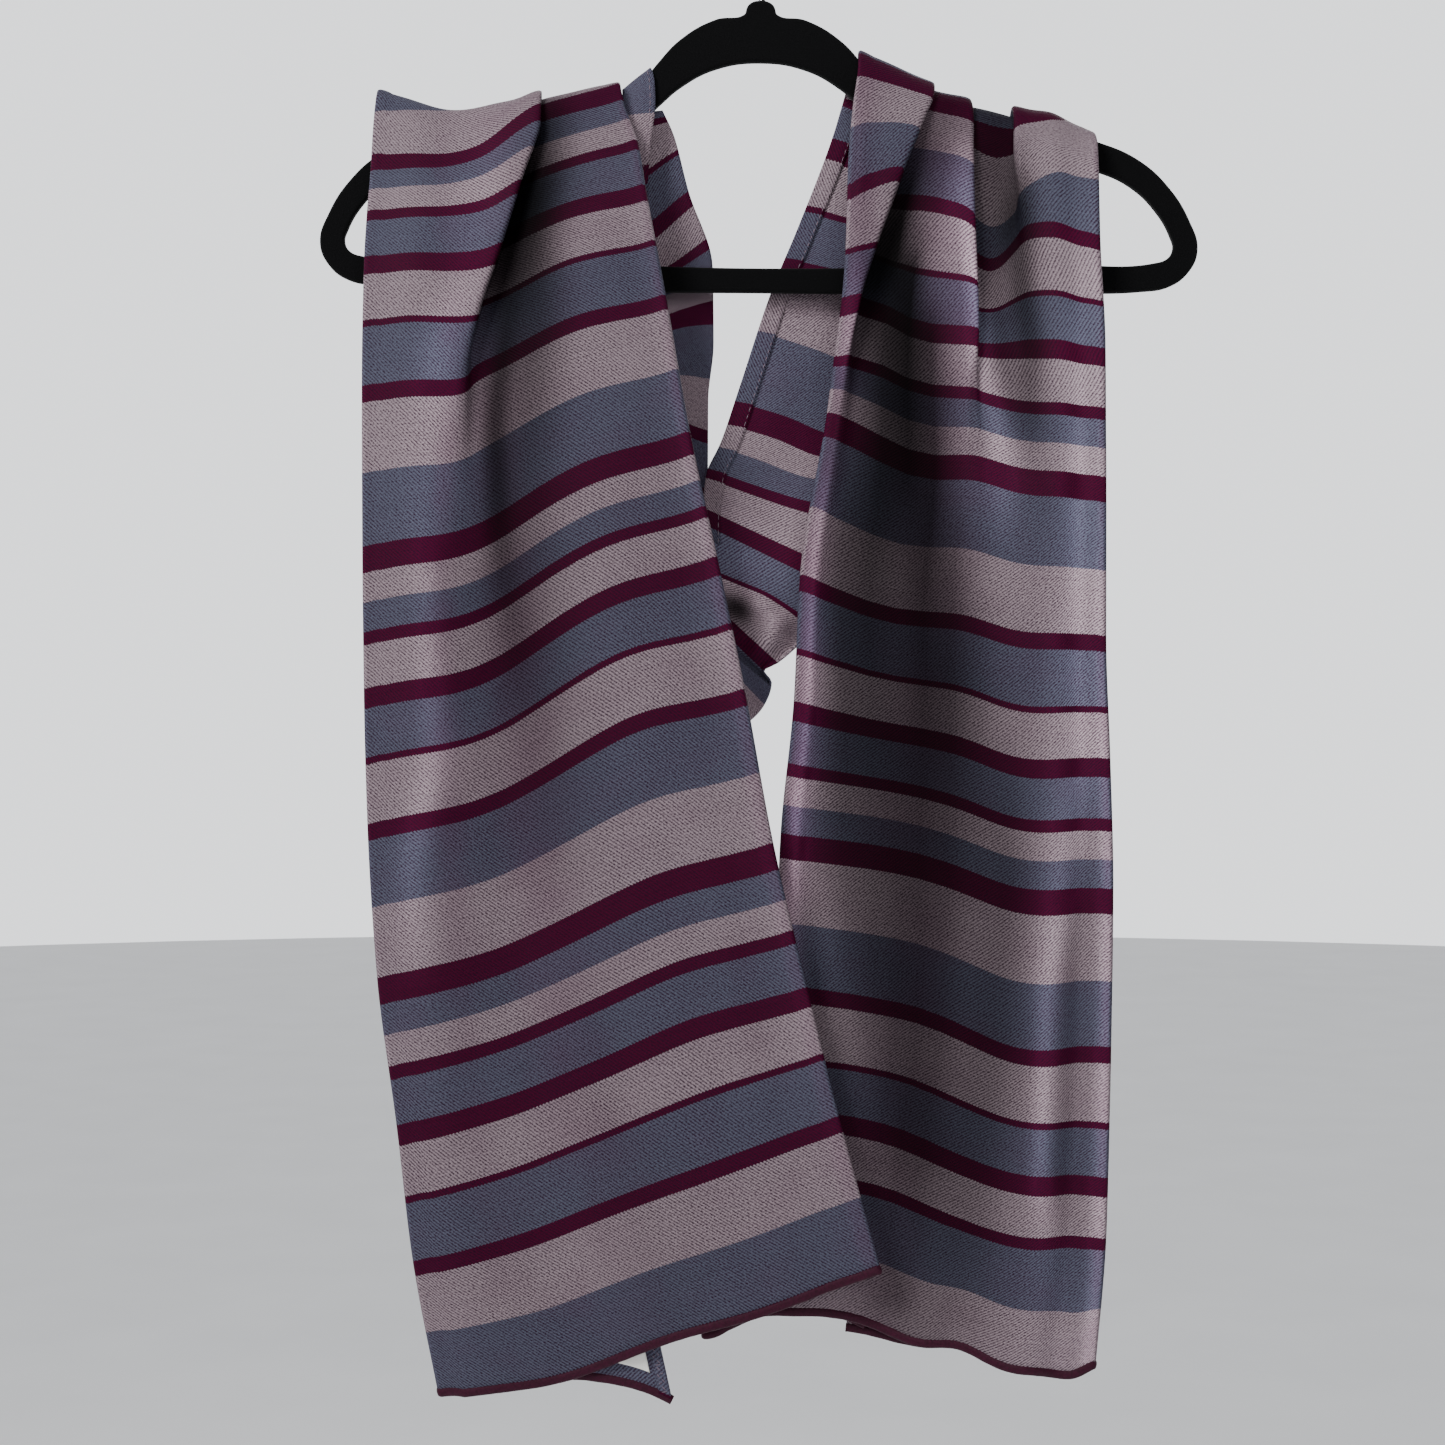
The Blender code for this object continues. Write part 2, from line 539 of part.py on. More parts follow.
def makeNeckFold(material):
    rows = []
    rest = wall / 2 + seamGap
    for up in stations(neckRows[0][0], neckRows[-1][0], neckRowCount):
        row = readTable(neckColumns, neckRows, up)
        line = []
        over = min(row["turn"] / 90, 1.0)
        for share in (1.0, 0.5, 0):
            x = row["leftX"] - neckUnder * share
            sunk = max(row["leftZ"] - armTop(x) - rest - seamGap, 0.0) * over
            line.append((x, row["y"], row["leftZ"] - sunk * min(share * 2, 1.0)))
        for share in (0.25, 0.5, 0.75, 1.0):
            x = row["leftX"] + (row["rightX"] - row["leftX"]) * share
            line.append((x, row["y"], row["leftZ"] + (row["rightZ"] - row["leftZ"]) * share))
        rows.append(line)
    return sheetObject("left_neck_fold", rows, wall, material)


def makeLabel(panel, material):
    # Woven label on the wrong side of the left flap, at its low corner.
    lift = wall / 2 + seamGap + labelWall / 2
    rows = []
    for up in stations(labelUp, labelUp + labelHeight, 2):
        flap = frontSection(panel, up, labelFlapColumns)[:labelFlapColumns]
        right = flap[0][0] - labelIn
        row = []
        for x in stations(right, right - labelWidth, 4):
            near = min(flap, key=lambda point: abs(point[0] - x))
            row.append((x, near[1] - lift, near[2]))
        rows.append(row)
    return sheetObject("label", rows, labelWall, material)


def hangerOutline(half):
    # Both halves of an outline, from the right one.
    return list(half) + [(-x, z) for x, z in reversed(half) if x > 0]


def makeHangerFrame(material):
    # Flat closed outline with the opening inside it, given its thickness and eased edges.
    curve = bpy.data.curves.new("hanger_frame", "CURVE")
    curve.dimensions = "2D"
    curve.fill_mode = "BOTH"
    curve.extrude = (hangerWall / 2 - hangerEase) * mm
    curve.bevel_depth = hangerEase * mm
    curve.bevel_resolution = 1
    curve.resolution_u = 2
    for half, inset in ((outerOutline, -hangerEase), (innerOutline, hangerEase)):
        points = hangerOutline(half)
        spline = curve.splines.new("BEZIER")
        spline.bezier_points.add(len(points) - 1)
        for point, (x, z) in zip(spline.bezier_points, points):
            away = np.array((x, z - hangerMiddle))
            away = away / np.linalg.norm(away) * inset
            point.co = ((x + away[0]) * mm, (z + away[1]) * mm, 0)
            point.handle_left_type = "AUTO"
            point.handle_right_type = "AUTO"
        spline.use_cyclic_u = True
    frame = bpy.data.objects.new("hanger_frame", curve)
    frame.rotation_euler = (pi / 2, radians(hangerTip), 0)
    frame.rotation_mode = "XYZ"
    curve.materials.append(material)
    scarf.objects.link(frame)
    return frame


def makeHook(material):
    # Wire hook: straight up out of the frame, then round over the rail. The point faces the right.
    radius = hookRadius + wire / 2
    route = [(0, nubTop + seamGap), (0, nubTop + shankLength / 2), (0, nubTop + shankLength)]
    for step in range(hookSteps + 1):
        angle = radians(hookFoot + step * (hookPoint - hookFoot) / hookSteps)
        route.append((radius * sin(angle), radius * cos(angle) - hookRadius))
    curve = bpy.data.curves.new("hanger_hook", "CURVE")
    curve.dimensions = "3D"
    curve.bevel_depth = wire / 2 * mm
    curve.bevel_resolution = 2
    curve.use_fill_caps = True
    spline = curve.splines.new("POLY")
    spline.points.add(len(route) - 1)
    for point, (x, z) in zip(spline.points, route):
        point.co = (x * mm, 0, z * mm, 1)
    hook = bpy.data.objects.new("hanger_hook", curve)
    curve.materials.append(material)
    scarf.objects.link(hook)
    return hook


clearScene()
scarf = bpy.data.collections.new("striped scarf on hanger")
bpy.context.scene.collection.children.link(scarf)

stoneTwill = plainMaterial("stone twill", stoneDye, 0.62)
slateTwill = plainMaterial("slate twill", slateDye, 0.6)
burgundyHem = plainMaterial("burgundy rolled hem", burgundyDye, 0.65)
wovenLabel = plainMaterial("woven label", labelWhite, 0.7)
blackFlock = plainMaterial("black flock", flockBlack, 0.95)
chromedSteel = plainMaterial("chromed steel", chromeSteel, 0.22, 1.0)

leftPanel = {
    "rows": leftFrontRows, "pleats": leftPleats, "ridges": leftRidges, "flaps": leftFlaps,
    "between": (7, 7), "rounding": (0.75,), "crown": 648,
}
rightPanel = {
    "rows": rightFrontRows, "pleats": rightPleats, "ridges": rightRidges, "flaps": rightFlaps,
    "between": (5, 2, 3, 6), "rounding": (), "crown": 645,
}

makeFront("left_front", leftPanel, slateTwill)
makeFront("right_front", rightPanel, stoneTwill)
makeEndHem("left_end_hem", leftPanel, burgundyHem)
makeEndHem("right_end_hem", rightPanel, burgundyHem)
makeBack("left_back", leftBackSpan, backRowCount, slateTwill)
makeBack("loop_bottom", loopSpan, loopRowCount, stoneTwill)
makeBack("right_back", rightBackSpan, backRowCount, slateTwill)
makeSideHem("right_back_side_hem", stoneTwill)
makeNeckFold(slateTwill)
makeLabel(leftPanel, wovenLabel)
makeHangerFrame(blackFlock)
makeHook(chromedSteel)
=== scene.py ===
# Striped scarf on its hanger: the cloth, hems, label and hanger as they look, over the solids' frame.
# Tables are in millimetres, as in the part's own source. The rail's height is 0 and the front is -Y.
from math import cos, pi, radians, sin

import bmesh
import bpy
import numpy as np
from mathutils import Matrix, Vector, noise


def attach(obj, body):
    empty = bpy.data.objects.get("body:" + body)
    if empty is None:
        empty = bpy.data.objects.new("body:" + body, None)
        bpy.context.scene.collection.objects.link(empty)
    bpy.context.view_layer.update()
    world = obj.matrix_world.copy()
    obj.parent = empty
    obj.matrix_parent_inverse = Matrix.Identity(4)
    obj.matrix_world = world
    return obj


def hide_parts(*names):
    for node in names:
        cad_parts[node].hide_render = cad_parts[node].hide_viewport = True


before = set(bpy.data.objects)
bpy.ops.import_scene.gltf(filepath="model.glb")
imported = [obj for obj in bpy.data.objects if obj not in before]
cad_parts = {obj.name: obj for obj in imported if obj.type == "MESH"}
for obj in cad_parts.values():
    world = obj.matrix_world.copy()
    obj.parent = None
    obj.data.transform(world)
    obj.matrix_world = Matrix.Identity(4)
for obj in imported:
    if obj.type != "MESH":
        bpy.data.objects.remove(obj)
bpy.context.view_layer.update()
mm = 0.001

# Colours of the real thing, as sRGB hex
dyes = {
    "slate": "545767",
    "taupe": "97878e",
    "burgundy": "440826",
    "warp": "260c22",
    # the plum of the painted shot sheen where the cloth turns, and of random patches
    "plum": "5c3450",
    "hem": "30061c",
    "rose": "d8b8c8",
    "thread": "75626f",
    "flock": "060607",
    "chrome": "d5d7da",
    "label": "e6e4df",
    "floor": "f0f0f1",
}

# One repeat of the stripes along the scarf, in mm: where each stripe ends, and its dye.
# In every second repeat the slate and the taupe change places.
stripes = (
    (33.1, "slate"), (65.1, "taupe"), (73.3, "burgundy"), (99.6, "slate"), (103.5, "burgundy"),
    (125.5, "taupe"), (134.6, "burgundy"), (156.6, "slate"), (163.3, "burgundy"), (176.7, "taupe"),
    (191.6, "slate"), (205, "burgundy"),
)

scarf = {
    "length": 2076,        # from one end hem to the other
    "width": 227,          # between its two lengthwise folds
    "wall": 1.0,           # a little under the solids' 1.2
    "hem": 4.8,            # height of the rolled end hems
    "repeat": 205,         # of the stripes
    "lastStripes": 65.3,   # the right end closes with a wide pair instead of the narrow one
    "rightSlip": 2.3,      # by which the right front's stripes stand higher than a plain count gives
}

# A front by the way up along the cloth from its hem: its two folds, how far the weft hangs below
# the line between them early, late and in a dip, and the turn over the arm in degrees
frontColumns = ("up", "leftX", "leftZ", "leftY", "rightX", "rightZ", "rightY", "early", "late", "dip", "turn")
leftFrontRows = (
    (0, -160.3, -765.2, -24, 58.2, -703.6, -30, 11, 4, 0, 0),
    (79, -173.1, -696.9, -25, 36.8, -624.9, -30, 5.5, 0.5, 0, 0),
    (140, -180.8, -631, -26, 21.4, -562.8, -30, 4.5, -4, 0, 0),
    (210, -190.2, -556.8, -28, 4.5, -490.7, -30, 6, -4.5, 0, 0),
    (283, -194.6, -481.6, -30, -9.4, -415.5, -29, 7.5, -6.5, 0, 0),
    (344, -196, -416.6, -32, -22.7, -351.5, -28, 9.5, -4.5, 0, 0),
    (415, -196.3, -344.8, -35, -36.5, -288, -29, 8.5, -3, 0, 0),
    (488, -196.1, -267.2, -37, -48.3, -221, -28, 9, -2.5, 0, 4),
    (549, -195.3, -205.1, -35, -58.4, -166.5, -23, 10, -1, 0, 16),
    (578, -194.6, -180, -31, -62.6, -141.4, -18, 10, 0, 0, 26),
    (606, -194.1, -157, -23, -69.5, -121, -12, 9, 0, 0, 40),
    (628, -194, -131, -14, -71.5, -112, -11, 11, 3, 2, 58),
    (648, -194, -111.5, 0, -72, -108.5, 0, 12, 6, 4, 90),
    (664, -193.8, -119, 10, -71.8, -113, 10.5, 6, 2.5, 1, 138),
    (676, -193.4, -131, 12.5, -71, -121, 12.5, 0, 0, 0, 180),
)
rightFrontRows = (
    (0, -30.2, -742.5, -7, 165.4, -749.9, -18, -15, 8, 0, 0),
    (72, -16.3, -655.9, -7, 170.5, -687.7, -20, -6, 6.5, 0, 0),
    (103, -8.8, -624, -8, 171.3, -656.7, -21, -5.5, 6.5, 0, 0),
    (163, 6.2, -562.5, -9, 172.6, -592.5, -22, -2, 9, 0, 0),
    (242, 9.6, -486.6, -13, 173.5, -513.6, -23, -2, 7, 0, 0),
    (308, 16, -420.4, -18, 171.8, -448.7, -24, 2, 7.5, 0, 0),
    (368, 18.9, -358.5, -23, 169.6, -388.8, -25, 7, 6, 0, 0),
    (447, 32.2, -277.9, -24, 169.5, -309.8, -26, 10, 5, 0, 2),
    (482, 35.1, -250, -25, 169.3, -275.9, -26, 5, 4, 0, 4),
    (513, 38.1, -220.2, -24, 169.3, -245.8, -25, 4, 2, 5, 10),
    (573, 42, -165.1, -18, 167.8, -189, -18, -6, 0, 18, 26),
    (606, 45.5, -125, -14, 167.5, -152, -14, 0, 0, 9, 42),
    (628, 48.5, -103, -9.5, 167.2, -140, -11.5, 4, 0.5, 2, 64),
    (645, 49, -93.2, -0.5, 167, -134, -0.5, 5.5, 1, 0, 90),
    (658, 49.4, -97.7, 9, 167, -138.3, 10, 3, 0.5, 0, 138),
    (668, 49.8, -107, 12, 166.8, -146, 12, 0, 0, 0, 180),
)

# Short waves of the right end near its hem: place across, half width, rise in mm
rightHemWaves = ((0.14, 0.08, 5), (0.66, 0.09, 8), (0.93, 0.08, -8))

# Pleats: place and half width across, the cloth gathered in them, all as shares of the width,
# and their depth in mm
pleatColumns = ("up", "place", "half", "gather", "depth")
leftPleats = (
    ((0, 0.3, 0.1, 0, 0), (400, 0.32, 0.1, 0, 0), (488, 0.345, 0.09, 0.05, 7),
     (523, 0.38, 0.08, 0.085, 13), (549, 0.44, 0.08, 0.11, 15), (578, 0.5, 0.08, 0.14, 14),
     (606, 0.58, 0.08, 0.16, 10), (628, 0.59, 0.08, 0.16, 7), (648, 0.594, 0.08, 0.15, 6.5),
     (676, 0.594, 0.08, 0.13, 6.5)),
)
rightPleats = (
    ((0, 0.22, 0.07, 0, 0), (440, 0.07, 0.04, 0, 0), (482, 0.062, 0.032, 0.01, 5),
     (513, 0.072, 0.034, 0.03, 12), (543, 0.11, 0.045, 0.055, 15), (573, 0.17, 0.055, 0.08, 15),
     (606, 0.25, 0.055, 0.085, 9), (628, 0.28, 0.055, 0.08, 5.5), (645, 0.285, 0.055, 0.08, 5),
     (668, 0.285, 0.055, 0.075, 5)),
    ((0, 0.56, 0.06, 0, 0), (420, 0.56, 0.06, 0, 0), (482, 0.53, 0.06, 0.02, 3),
     (513, 0.51, 0.05, 0.05, 7.5), (573, 0.485, 0.05, 0.062, 8.5), (606, 0.468, 0.05, 0.066, 8),
     (628, 0.464, 0.05, 0.066, 5.5), (645, 0.462, 0.05, 0.064, 5), (668, 0.462, 0.05, 0.062, 5)),
    ((0, 0.7, 0.06, 0, 0), (543, 0.7, 0.06, 0, -2), (573, 0.69, 0.06, 0.012, -4.5),
     (588, 0.68, 0.05, 0.035, -7.5), (606, 0.68, 0.05, 0.062, -8.5), (628, 0.68, 0.05, 0.066, -6),
     (645, 0.68, 0.05, 0.064, -5), (668, 0.68, 0.05, 0.062, -5)),
)

# Painted shade of the deep side of each pleat: how dark it is, and how far that reaches, in half widths of
# the pleat
shadeColumns = ("up", "dark", "reach")
leftShades = (
    ((0, 0, 1.2), (430, 0, 1.2), (495, 0.35, 1.5), (528, 0.88, 1.5), (560, 0.97, 1.5), (595, 0.9, 1.1),
     (628, 0.75, 0.9), (645, 0, 0.9), (676, 0, 0.9)),
)
rightShades = (
    ((0, 0, 2.6), (380, 0.1, 2.6), (450, 0.4, 2.6), (500, 0.8, 2.6), (540, 0.97, 2), (570, 0.92, 1.1),
     (600, 0.6, 0.9), (640, 0.3, 0.8), (668, 0, 1)),
    ((0, 0, 1), (430, 0, 1), (500, 0.5, 1.3), (560, 0.6, 1.3), (600, 0.55, 1.8), (640, 0.55, 1.8),
     (668, 0, 1)),
    ((0, 0, 1), (560, 0, 1), (590, 0.3, 1.2), (615, 0.3, 1.3), (640, 0.3, 1.3), (668, 0, 1)),
)

# Painted light of the long soft folds, which are darker or brighter in the photograph than under
# these lamps: place and half width across, and the light as a natural logarithm, so that -1.5
# leaves 22 % of it
lightColumns = ("up", "place", "half", "light")
# painted light over the whole of both fronts, as a natural logarithm: -0.2 darkens them
frontsLight = -0.2
leftLights = (
    ((0, 0.52, 0.12, -0.15), (200, 0.5, 0.14, -0.1), (250, 0.48, 0.14, -0.3), (320, 0.47, 0.13, -0.55),
     (390, 0.47, 0.12, -0.65), (450, 0.52, 0.11, -0.8), (500, 0.57, 0.1, -0.85), (540, 0.6, 0.08, -0.4),
     (620, 0.6, 0.06, 0)),
    ((300, 0.42, 0.05, 0), (345, 0.42, 0.05, -0.3), (390, 0.41, 0.045, -0.7), (450, 0.415, 0.04, -1.4),
     (500, 0.47, 0.045, -1.15), (530, 0.5, 0.04, -0.7), (560, 0.52, 0.04, 0)),
    ((190, 0.1, 0.05, 0), (250, 0.11, 0.05, 0.4), (320, 0.19, 0.045, 0.6), (390, 0.19, 0.045, 0.45),
     (450, 0.23, 0.08, 0.45), (500, 0.26, 0.08, 0.75), (540, 0.36, 0.09, 0.4), (580, 0.4, 0.12, 0.35),
     (630, 0.42, 0.12, 0.1), (676, 0.42, 0.12, 0)),
    ((0, 0.99, 0.025, 0.15), (250, 0.99, 0.025, 0.3), (400, 0.99, 0.025, 0.35), (550, 0.99, 0.025, 0.1),
     (676, 0.99, 0.025, 0)),
)
rightLights = (
    ((60, 0.3, 0.1, 0), (180, 0.26, 0.1, -0.5), (250, 0.21, 0.11, -0.85), (320, 0.19, 0.11, -1.45),
     (390, 0.19, 0.11, -1.75), (450, 0.22, 0.1, -1.8), (500, 0.24, 0.09, -2.2), (530, 0.25, 0.055, -2.1),
     (555, 0.23, 0.04, -0.9), (575, 0.2, 0.04, 0)),
    ((0, 0.52, 0.1, -0.6), (50, 0.5, 0.11, -0.85), (110, 0.47, 0.13, -1.45), (180, 0.44, 0.17, -1.4),
     (250, 0.44, 0.17, -1.6), (320, 0.44, 0.15, -1.9), (390, 0.41, 0.12, -2), (450, 0.34, 0.08, -2.2),
     (500, 0.3, 0.06, -2), (525, 0.28, 0.045, -0.8), (545, 0.27, 0.04, 0)),
    ((0, 0.66, 0.08, -0.2), (110, 0.66, 0.08, -0.6), (250, 0.68, 0.07, -0.6), (330, 0.68, 0.07, -0.15),
     (400, 0.68, 0.07, 0)),
    ((0, 0.88, 0.07, 0.4), (60, 0.85, 0.05, 0.4), (110, 0.81, 0.03, 0.7), (180, 0.8, 0.035, 0.65),
     (250, 0.85, 0.06, 0.75), (320, 0.89, 0.07, 1), (450, 0.89, 0.06, 1.05), (500, 0.89, 0.07, 0.75),
     (560, 0.91, 0.08, 0.4), (610, 0.91, 0.08, 0.15), (668, 0.91, 0.08, 0)),
    ((0, 0.99, 0.035, 0.9), (320, 0.99, 0.035, 0.9), (500, 0.99, 0.035, 0.55), (668, 0.99, 0.035, 0.1)),
    ((400, 0.64, 0.05, 0), (450, 0.62, 0.07, 0.8), (500, 0.54, 0.06, 1.15), (540, 0.5, 0.06, 1.1),
     (580, 0.47, 0.06, 0.8), (610, 0.47, 0.05, 0)),
    ((440, 0.73, 0.05, 0), (500, 0.72, 0.05, -0.8), (540, 0.69, 0.05, -1.3), (580, 0.68, 0.06, -1.3),
     (600, 0.67, 0.05, -0.4), (615, 0.67, 0.05, 0)),
    ((120, 0.03, 0.045, 0), (180, 0.03, 0.045, 0.7), (250, 0.045, 0.045, 1.05), (320, 0.05, 0.045, 1.1),
     (390, 0.04, 0.04, 0.8), (440, 0.03, 0.04, 0), (500, 0.03, 0.04, 0.6), (540, 0.03, 0.04, 0)),
)

# Soft ridges and, below zero, hollows: place across at the hem and at the arm, half width, and
# height in mm at the hem, halfway and at the arm
ridgeColumns = ("hemPlace", "topPlace", "half", "hem", "middle", "top")
leftRidges = (
    (0.08, 0.2, 0.09, 4, 7, 0.5),
    (0.34, 0.46, 0.12, -5, -9.5, -4),
    (0.6, 0.74, 0.16, 4, 4, 2),
    (0.9, 0.93, 0.05, -1.5, -1.5, 0),
)
rightRidges = (
    (0.035, 0.03, 0.03, 1, 6, 0),
    (0.11, 0.11, 0.045, 0, -3, 0),
    (0.24, 0.22, 0.09, 0, -3, 0),
    (0.45, 0.4, 0.1, -7.5, -7, 0),
    (0.64, 0.62, 0.07, -3.5, -2, 0),
    (0.81, 0.82, 0.07, 6.5, 6, 2),
    (0.9, 0.91, 0.04, -2.5, -2, 0),
)

# Painted shot sheen: bands where more of the burgundy warp shows, as shot cloth does where it turns from the
# view, fixed on the cloth and read as the ridges; below zero, less warp shows
leftShotSheen = (
    (0.42, 0.44, 0.09, 0.1, 0.6, 0.2),
    (0.18, 0.27, 0.045, 0, 0.5, 0.3),
    (0.1, 0.12, 0.12, 0, 0, -1),
    (0.99, 1, 0.02, 0.5, 0.5, 0.5),
)
rightShotSheen = (
    (0.44, 0.4, 0.11, 0.3, 0.7, 0.4),
    (0.03, 0.02, 0.06, 0.35, 0.8, 0.6),
    (0.3, 0.33, 0.05, 0, 0.1, 0.3),
    (0.9, 0.88, 0.12, 0, 0, -1),
    (0.99, 1, 0.02, 0.4, 0.4, 0.4),
)

# How far the flaps reach in behind the front, as shares of its width, and how their low ends droop
flapColumns = ("leftReach", "rightReach", "leftDroop", "rightDroop")
leftFlaps = (0.53, 0.8, 36, -10)
rightFlaps = (0.42, 0.63, 3, 9)

# Place and half width across of the hanging wefts' three falls
weftDips = (("early", 0.3, 0.2), ("late", 0.72, 0.17), ("dip", 0.575, 0.09))

# The back by the way along the cloth from the left end: its neck edge and its low edge
backColumns = ("cloth", "innerX", "innerZ", "innerY", "outerX", "outerZ", "outerY")
backRows = (
    (676, -50.5, -119.8, 7.5, -192.8, -131.5, 11),
    (706, -44.8, -132, 9.5, -192, -162, 15),
    (742, -37.2, -160.3, 12, -187, -210, 18),
    (790, -25, -198.5, 14, -176, -266, 20),
    (835, -24.5, -236.6, 16, -158, -317, 20),
    (872, -27.3, -266.1, 17, -136, -358, 19),
    (912, -27.5, -299.8, 18, -110, -392, 18),
    (950, -29, -332, 18, -84, -417, 17),
    (990, -32, -360, 17, -56, -434, 15),
    (1035, -34, -392, 16, -14, -432, 19),
    (1063, -32, -388, 11, 0, -421, 15),
    (1085, -31, -382, 6, 3.4, -410, 11),
    (1095, -30, -376, 3, -0.5, -404, 6),
    (1103, -30, -367, 2, 6.5, -400, 3),
    (1131, -30, -354.5, 2, 25, -383.5, 4),
    (1164, -30, -324, 3, 50, -361, 9),
    (1193, -28.4, -306.3, 5, 72, -330, 12),
    (1222, -20.8, -288.8, 7, 92, -300, 15),
    (1255, -11.1, -259.9, 9, 115, -266, 17),
    (1300, 4.8, -212.1, 10, 143.3, -219.5, 18),
    (1340, 18.5, -179, 11, 158.6, -184, 17),
    (1385, 36.5, -132, 10, 166, -154, 12),
    (1408, 44, -106.2, 9, 166.8, -147.1, 9),
)

# Soft patches of the back, with their half widths in mm along and as shares across: how far it
# swells toward the front, in mm, and its painted light, read as that of the long folds
patchColumns = ("cloth", "across", "alongHalf", "acrossHalf", "strength")
backSwells = (
    (760, 0.45, 70, 0.22, -5),
    (850, 0.7, 80, 0.18, 4),
    (900, 0.25, 60, 0.16, -4),
    (1030, 0.55, 40, 0.25, 6),
    (1113, 0.38, 11, 0.15, -8),
    (1128, 0.56, 10, 0.14, 7),
    (1121, 0.76, 10, 0.12, 8),
    (1108, 0.82, 10, 0.12, 6),
    (1230, 0.4, 60, 0.2, -4),
    (1320, 0.65, 60, 0.2, 4),
)
# painted light over the whole back, as a natural logarithm: 0.1 brightens it; then in patches, a painted
# shadow in the hollow at the loop's bottom and painted light on the back where the left front's edge shades
# it
backLight = 0.1
backPaintedLight = (
    (1114, 0.36, 9, 0.13, -2),
    (1148, 0.25, 22, 0.3, 0.5),
)

# How far the stripes slip down the fronts, in mm, where the cloth is gathered on the shoulders:
# each line gives it at the places across the front that stand above it
leftSlipPlaces = (0, 0.35, 0.62, 1)
leftSlips = (
    (600, 0, 0, 0, 0),
    (613, 7, 7, -2, -3),
    (632, 21, 8, -7, -12),
    (648, 24, 5, -20, -30),
    (676, 0, 0, 0, 0),
)
rightSlipPlaces = (0, 0.13, 0.25, 0.34, 0.43, 0.5, 0.63, 0.7, 0.85, 1)
rightSlips = (
    (400, 0, 0, 0, 0, 0, 0, 0, 0, 0, 0),
    (450, 0, -3, -2, -1, 0, 0, 0, 0, 0, 0),
    (513, 2, -7, -2, 0, 0, 0, 0, 0, 0, 0),
    (560, 2, -8, 0, 0, 0, 0, 0, 0, 0, 0),
    (573, 2, -7, 0, 0, 0, 0, 0, 0, 0, 0),
    (584, 5, -3, 4, 4, 4, 16, 18, 18, 6, 6),
    (596, 9, 4, 9, 10, 10, 24, 24, 22, 12, 9),
    (616, 18, 17, 18, 20, 20, 26, 26, 22, 13, 6),
    (630, 16, 16, 16, 17, 17, 22, 22, 16, 8, -4),
    (645, 9, 9, 9, 8, 8, 15, 15, 8, -3, -12),
    (668, 0, 0, 0, 0, 0, 0, 0, 0, 0, 0),
)
# and on the back toward the left shoulder, from its neck edge to its low edge
backSlipPlaces = (0, 0.22, 0.5, 1)
backSlips = (
    (676, 0, 0, 0, 0),
    (700, 3, -6, -6, 0),
    (760, 5, -7, -7, 0),
    (800, 3, 6, 6, 0),
    (835, 0, 20, 20, 0),
    (872, 0, 27, 27, 0),
    (912, 0, 27, 27, 0),
    (950, 0, 14, 14, 0),
    (990, 0, 0, 0, 0),
    (1103, 0, 0, 0, 0),
    (1125, 0, -3, -5, 0),
    (1160, 0, 0, 0, 0),
    (1193, -5, -2, 0, 0),
    (1222, -11, -6, 2, 0),
    (1300, -13, -7, 0, 0),
    (1385, -13, -6, 0, 0),
    (1408, 0, 0, 0, 0),
)

# The left neck fold by the way up along it, and the way along the scarf that its stripes show
neckColumns = ("up", "leftX", "leftZ", "rightX", "rightZ", "y")
neckStripeColumns = ("up", "along")
neckStripes = ((0, 77), (11, 69.9), (39, 37.9), (84, -13))
neckRows = (
    (0, -70, -163, -57.6, -160, -5),
    (20, -72, -144, -56.3, -142, -4.9),
    (45, -72, -122, -53.8, -119, -4.7),
    (60, -70.4, -115.6, -54.3, -108, -4.4),
    (68, -70.4, -112.8, -56, -101.6, -3),
    (72, -70.4, -112.2, -56.6, -101, 0),
    (78, -70.4, -113.4, -56.8, -104, 4),
    (84, -70.4, -117.4, -56, -108, 4.8),
)


def linear(hexColour):
    channels = []
    for i in (0, 2, 4):
        share = int(hexColour[i:i + 2], 16) / 255
        channels.append(share / 12.92 if share <= 0.04045 else ((share + 0.055) / 1.055) ** 2.4)
    return (*channels, 1.0)


def stations(first, last, count):
    return [first + (last - first) * i / count for i in range(count + 1)]


def smoothCurve(keys, values, at):
    # Smooth curve through the values at the keys that does not overshoot them.
    keys = np.array(keys, float)
    values = np.array(values, float)
    at = np.clip(at, keys[0], keys[-1])
    steps = np.diff(keys)
    rises = (np.diff(values, axis=0).T / steps).T
    slopes = np.zeros_like(values)
    slopes[0] = rises[0]
    slopes[-1] = rises[-1]
    same = rises[:-1] * rises[1:] > 0
    mean = 2 * rises[:-1] * rises[1:] / np.where(same, rises[:-1] + rises[1:], 1)
    slopes[1:-1] = np.where(same, mean, 0)
    i = np.clip(np.searchsorted(keys, at, side="right") - 1, 0, len(steps) - 1)
    t = (at - keys[i]) / steps[i]
    return (
        (2 * t**3 - 3 * t**2 + 1) * values[i]
        + (t**3 - 2 * t**2 + t) * steps[i] * slopes[i]
        + (3 * t**2 - 2 * t**3) * values[i + 1]
        + (t**3 - t**2) * steps[i] * slopes[i + 1]
    )


def rowAt(rows, at):
    # One row of a table at any height, smoothed between its lines.
    return smoothCurve([row[0] for row in rows], [row[1:] for row in rows], at)


def readTable(columns, rows, at):
    return dict(zip(columns[1:], rowAt(rows, at)))


def between(row, first, last, share):
    return row[first] + (row[last] - row[first]) * share


def hump(t):
    return np.exp(-t * t)


def bandStrength(table, share, across):
    # Strength of the soft bands of a table of ridges at one height, across the front.
    found = np.zeros_like(across)
    for line in table:
        band = dict(zip(ridgeColumns, line))
        place = between(band, "hemPlace", "topPlace", share)
        height = np.interp(share, (0, 0.5, 1), (band["hem"], band["middle"], band["top"]))
        found = found + height * hump((across - place) / band["half"])
    return found


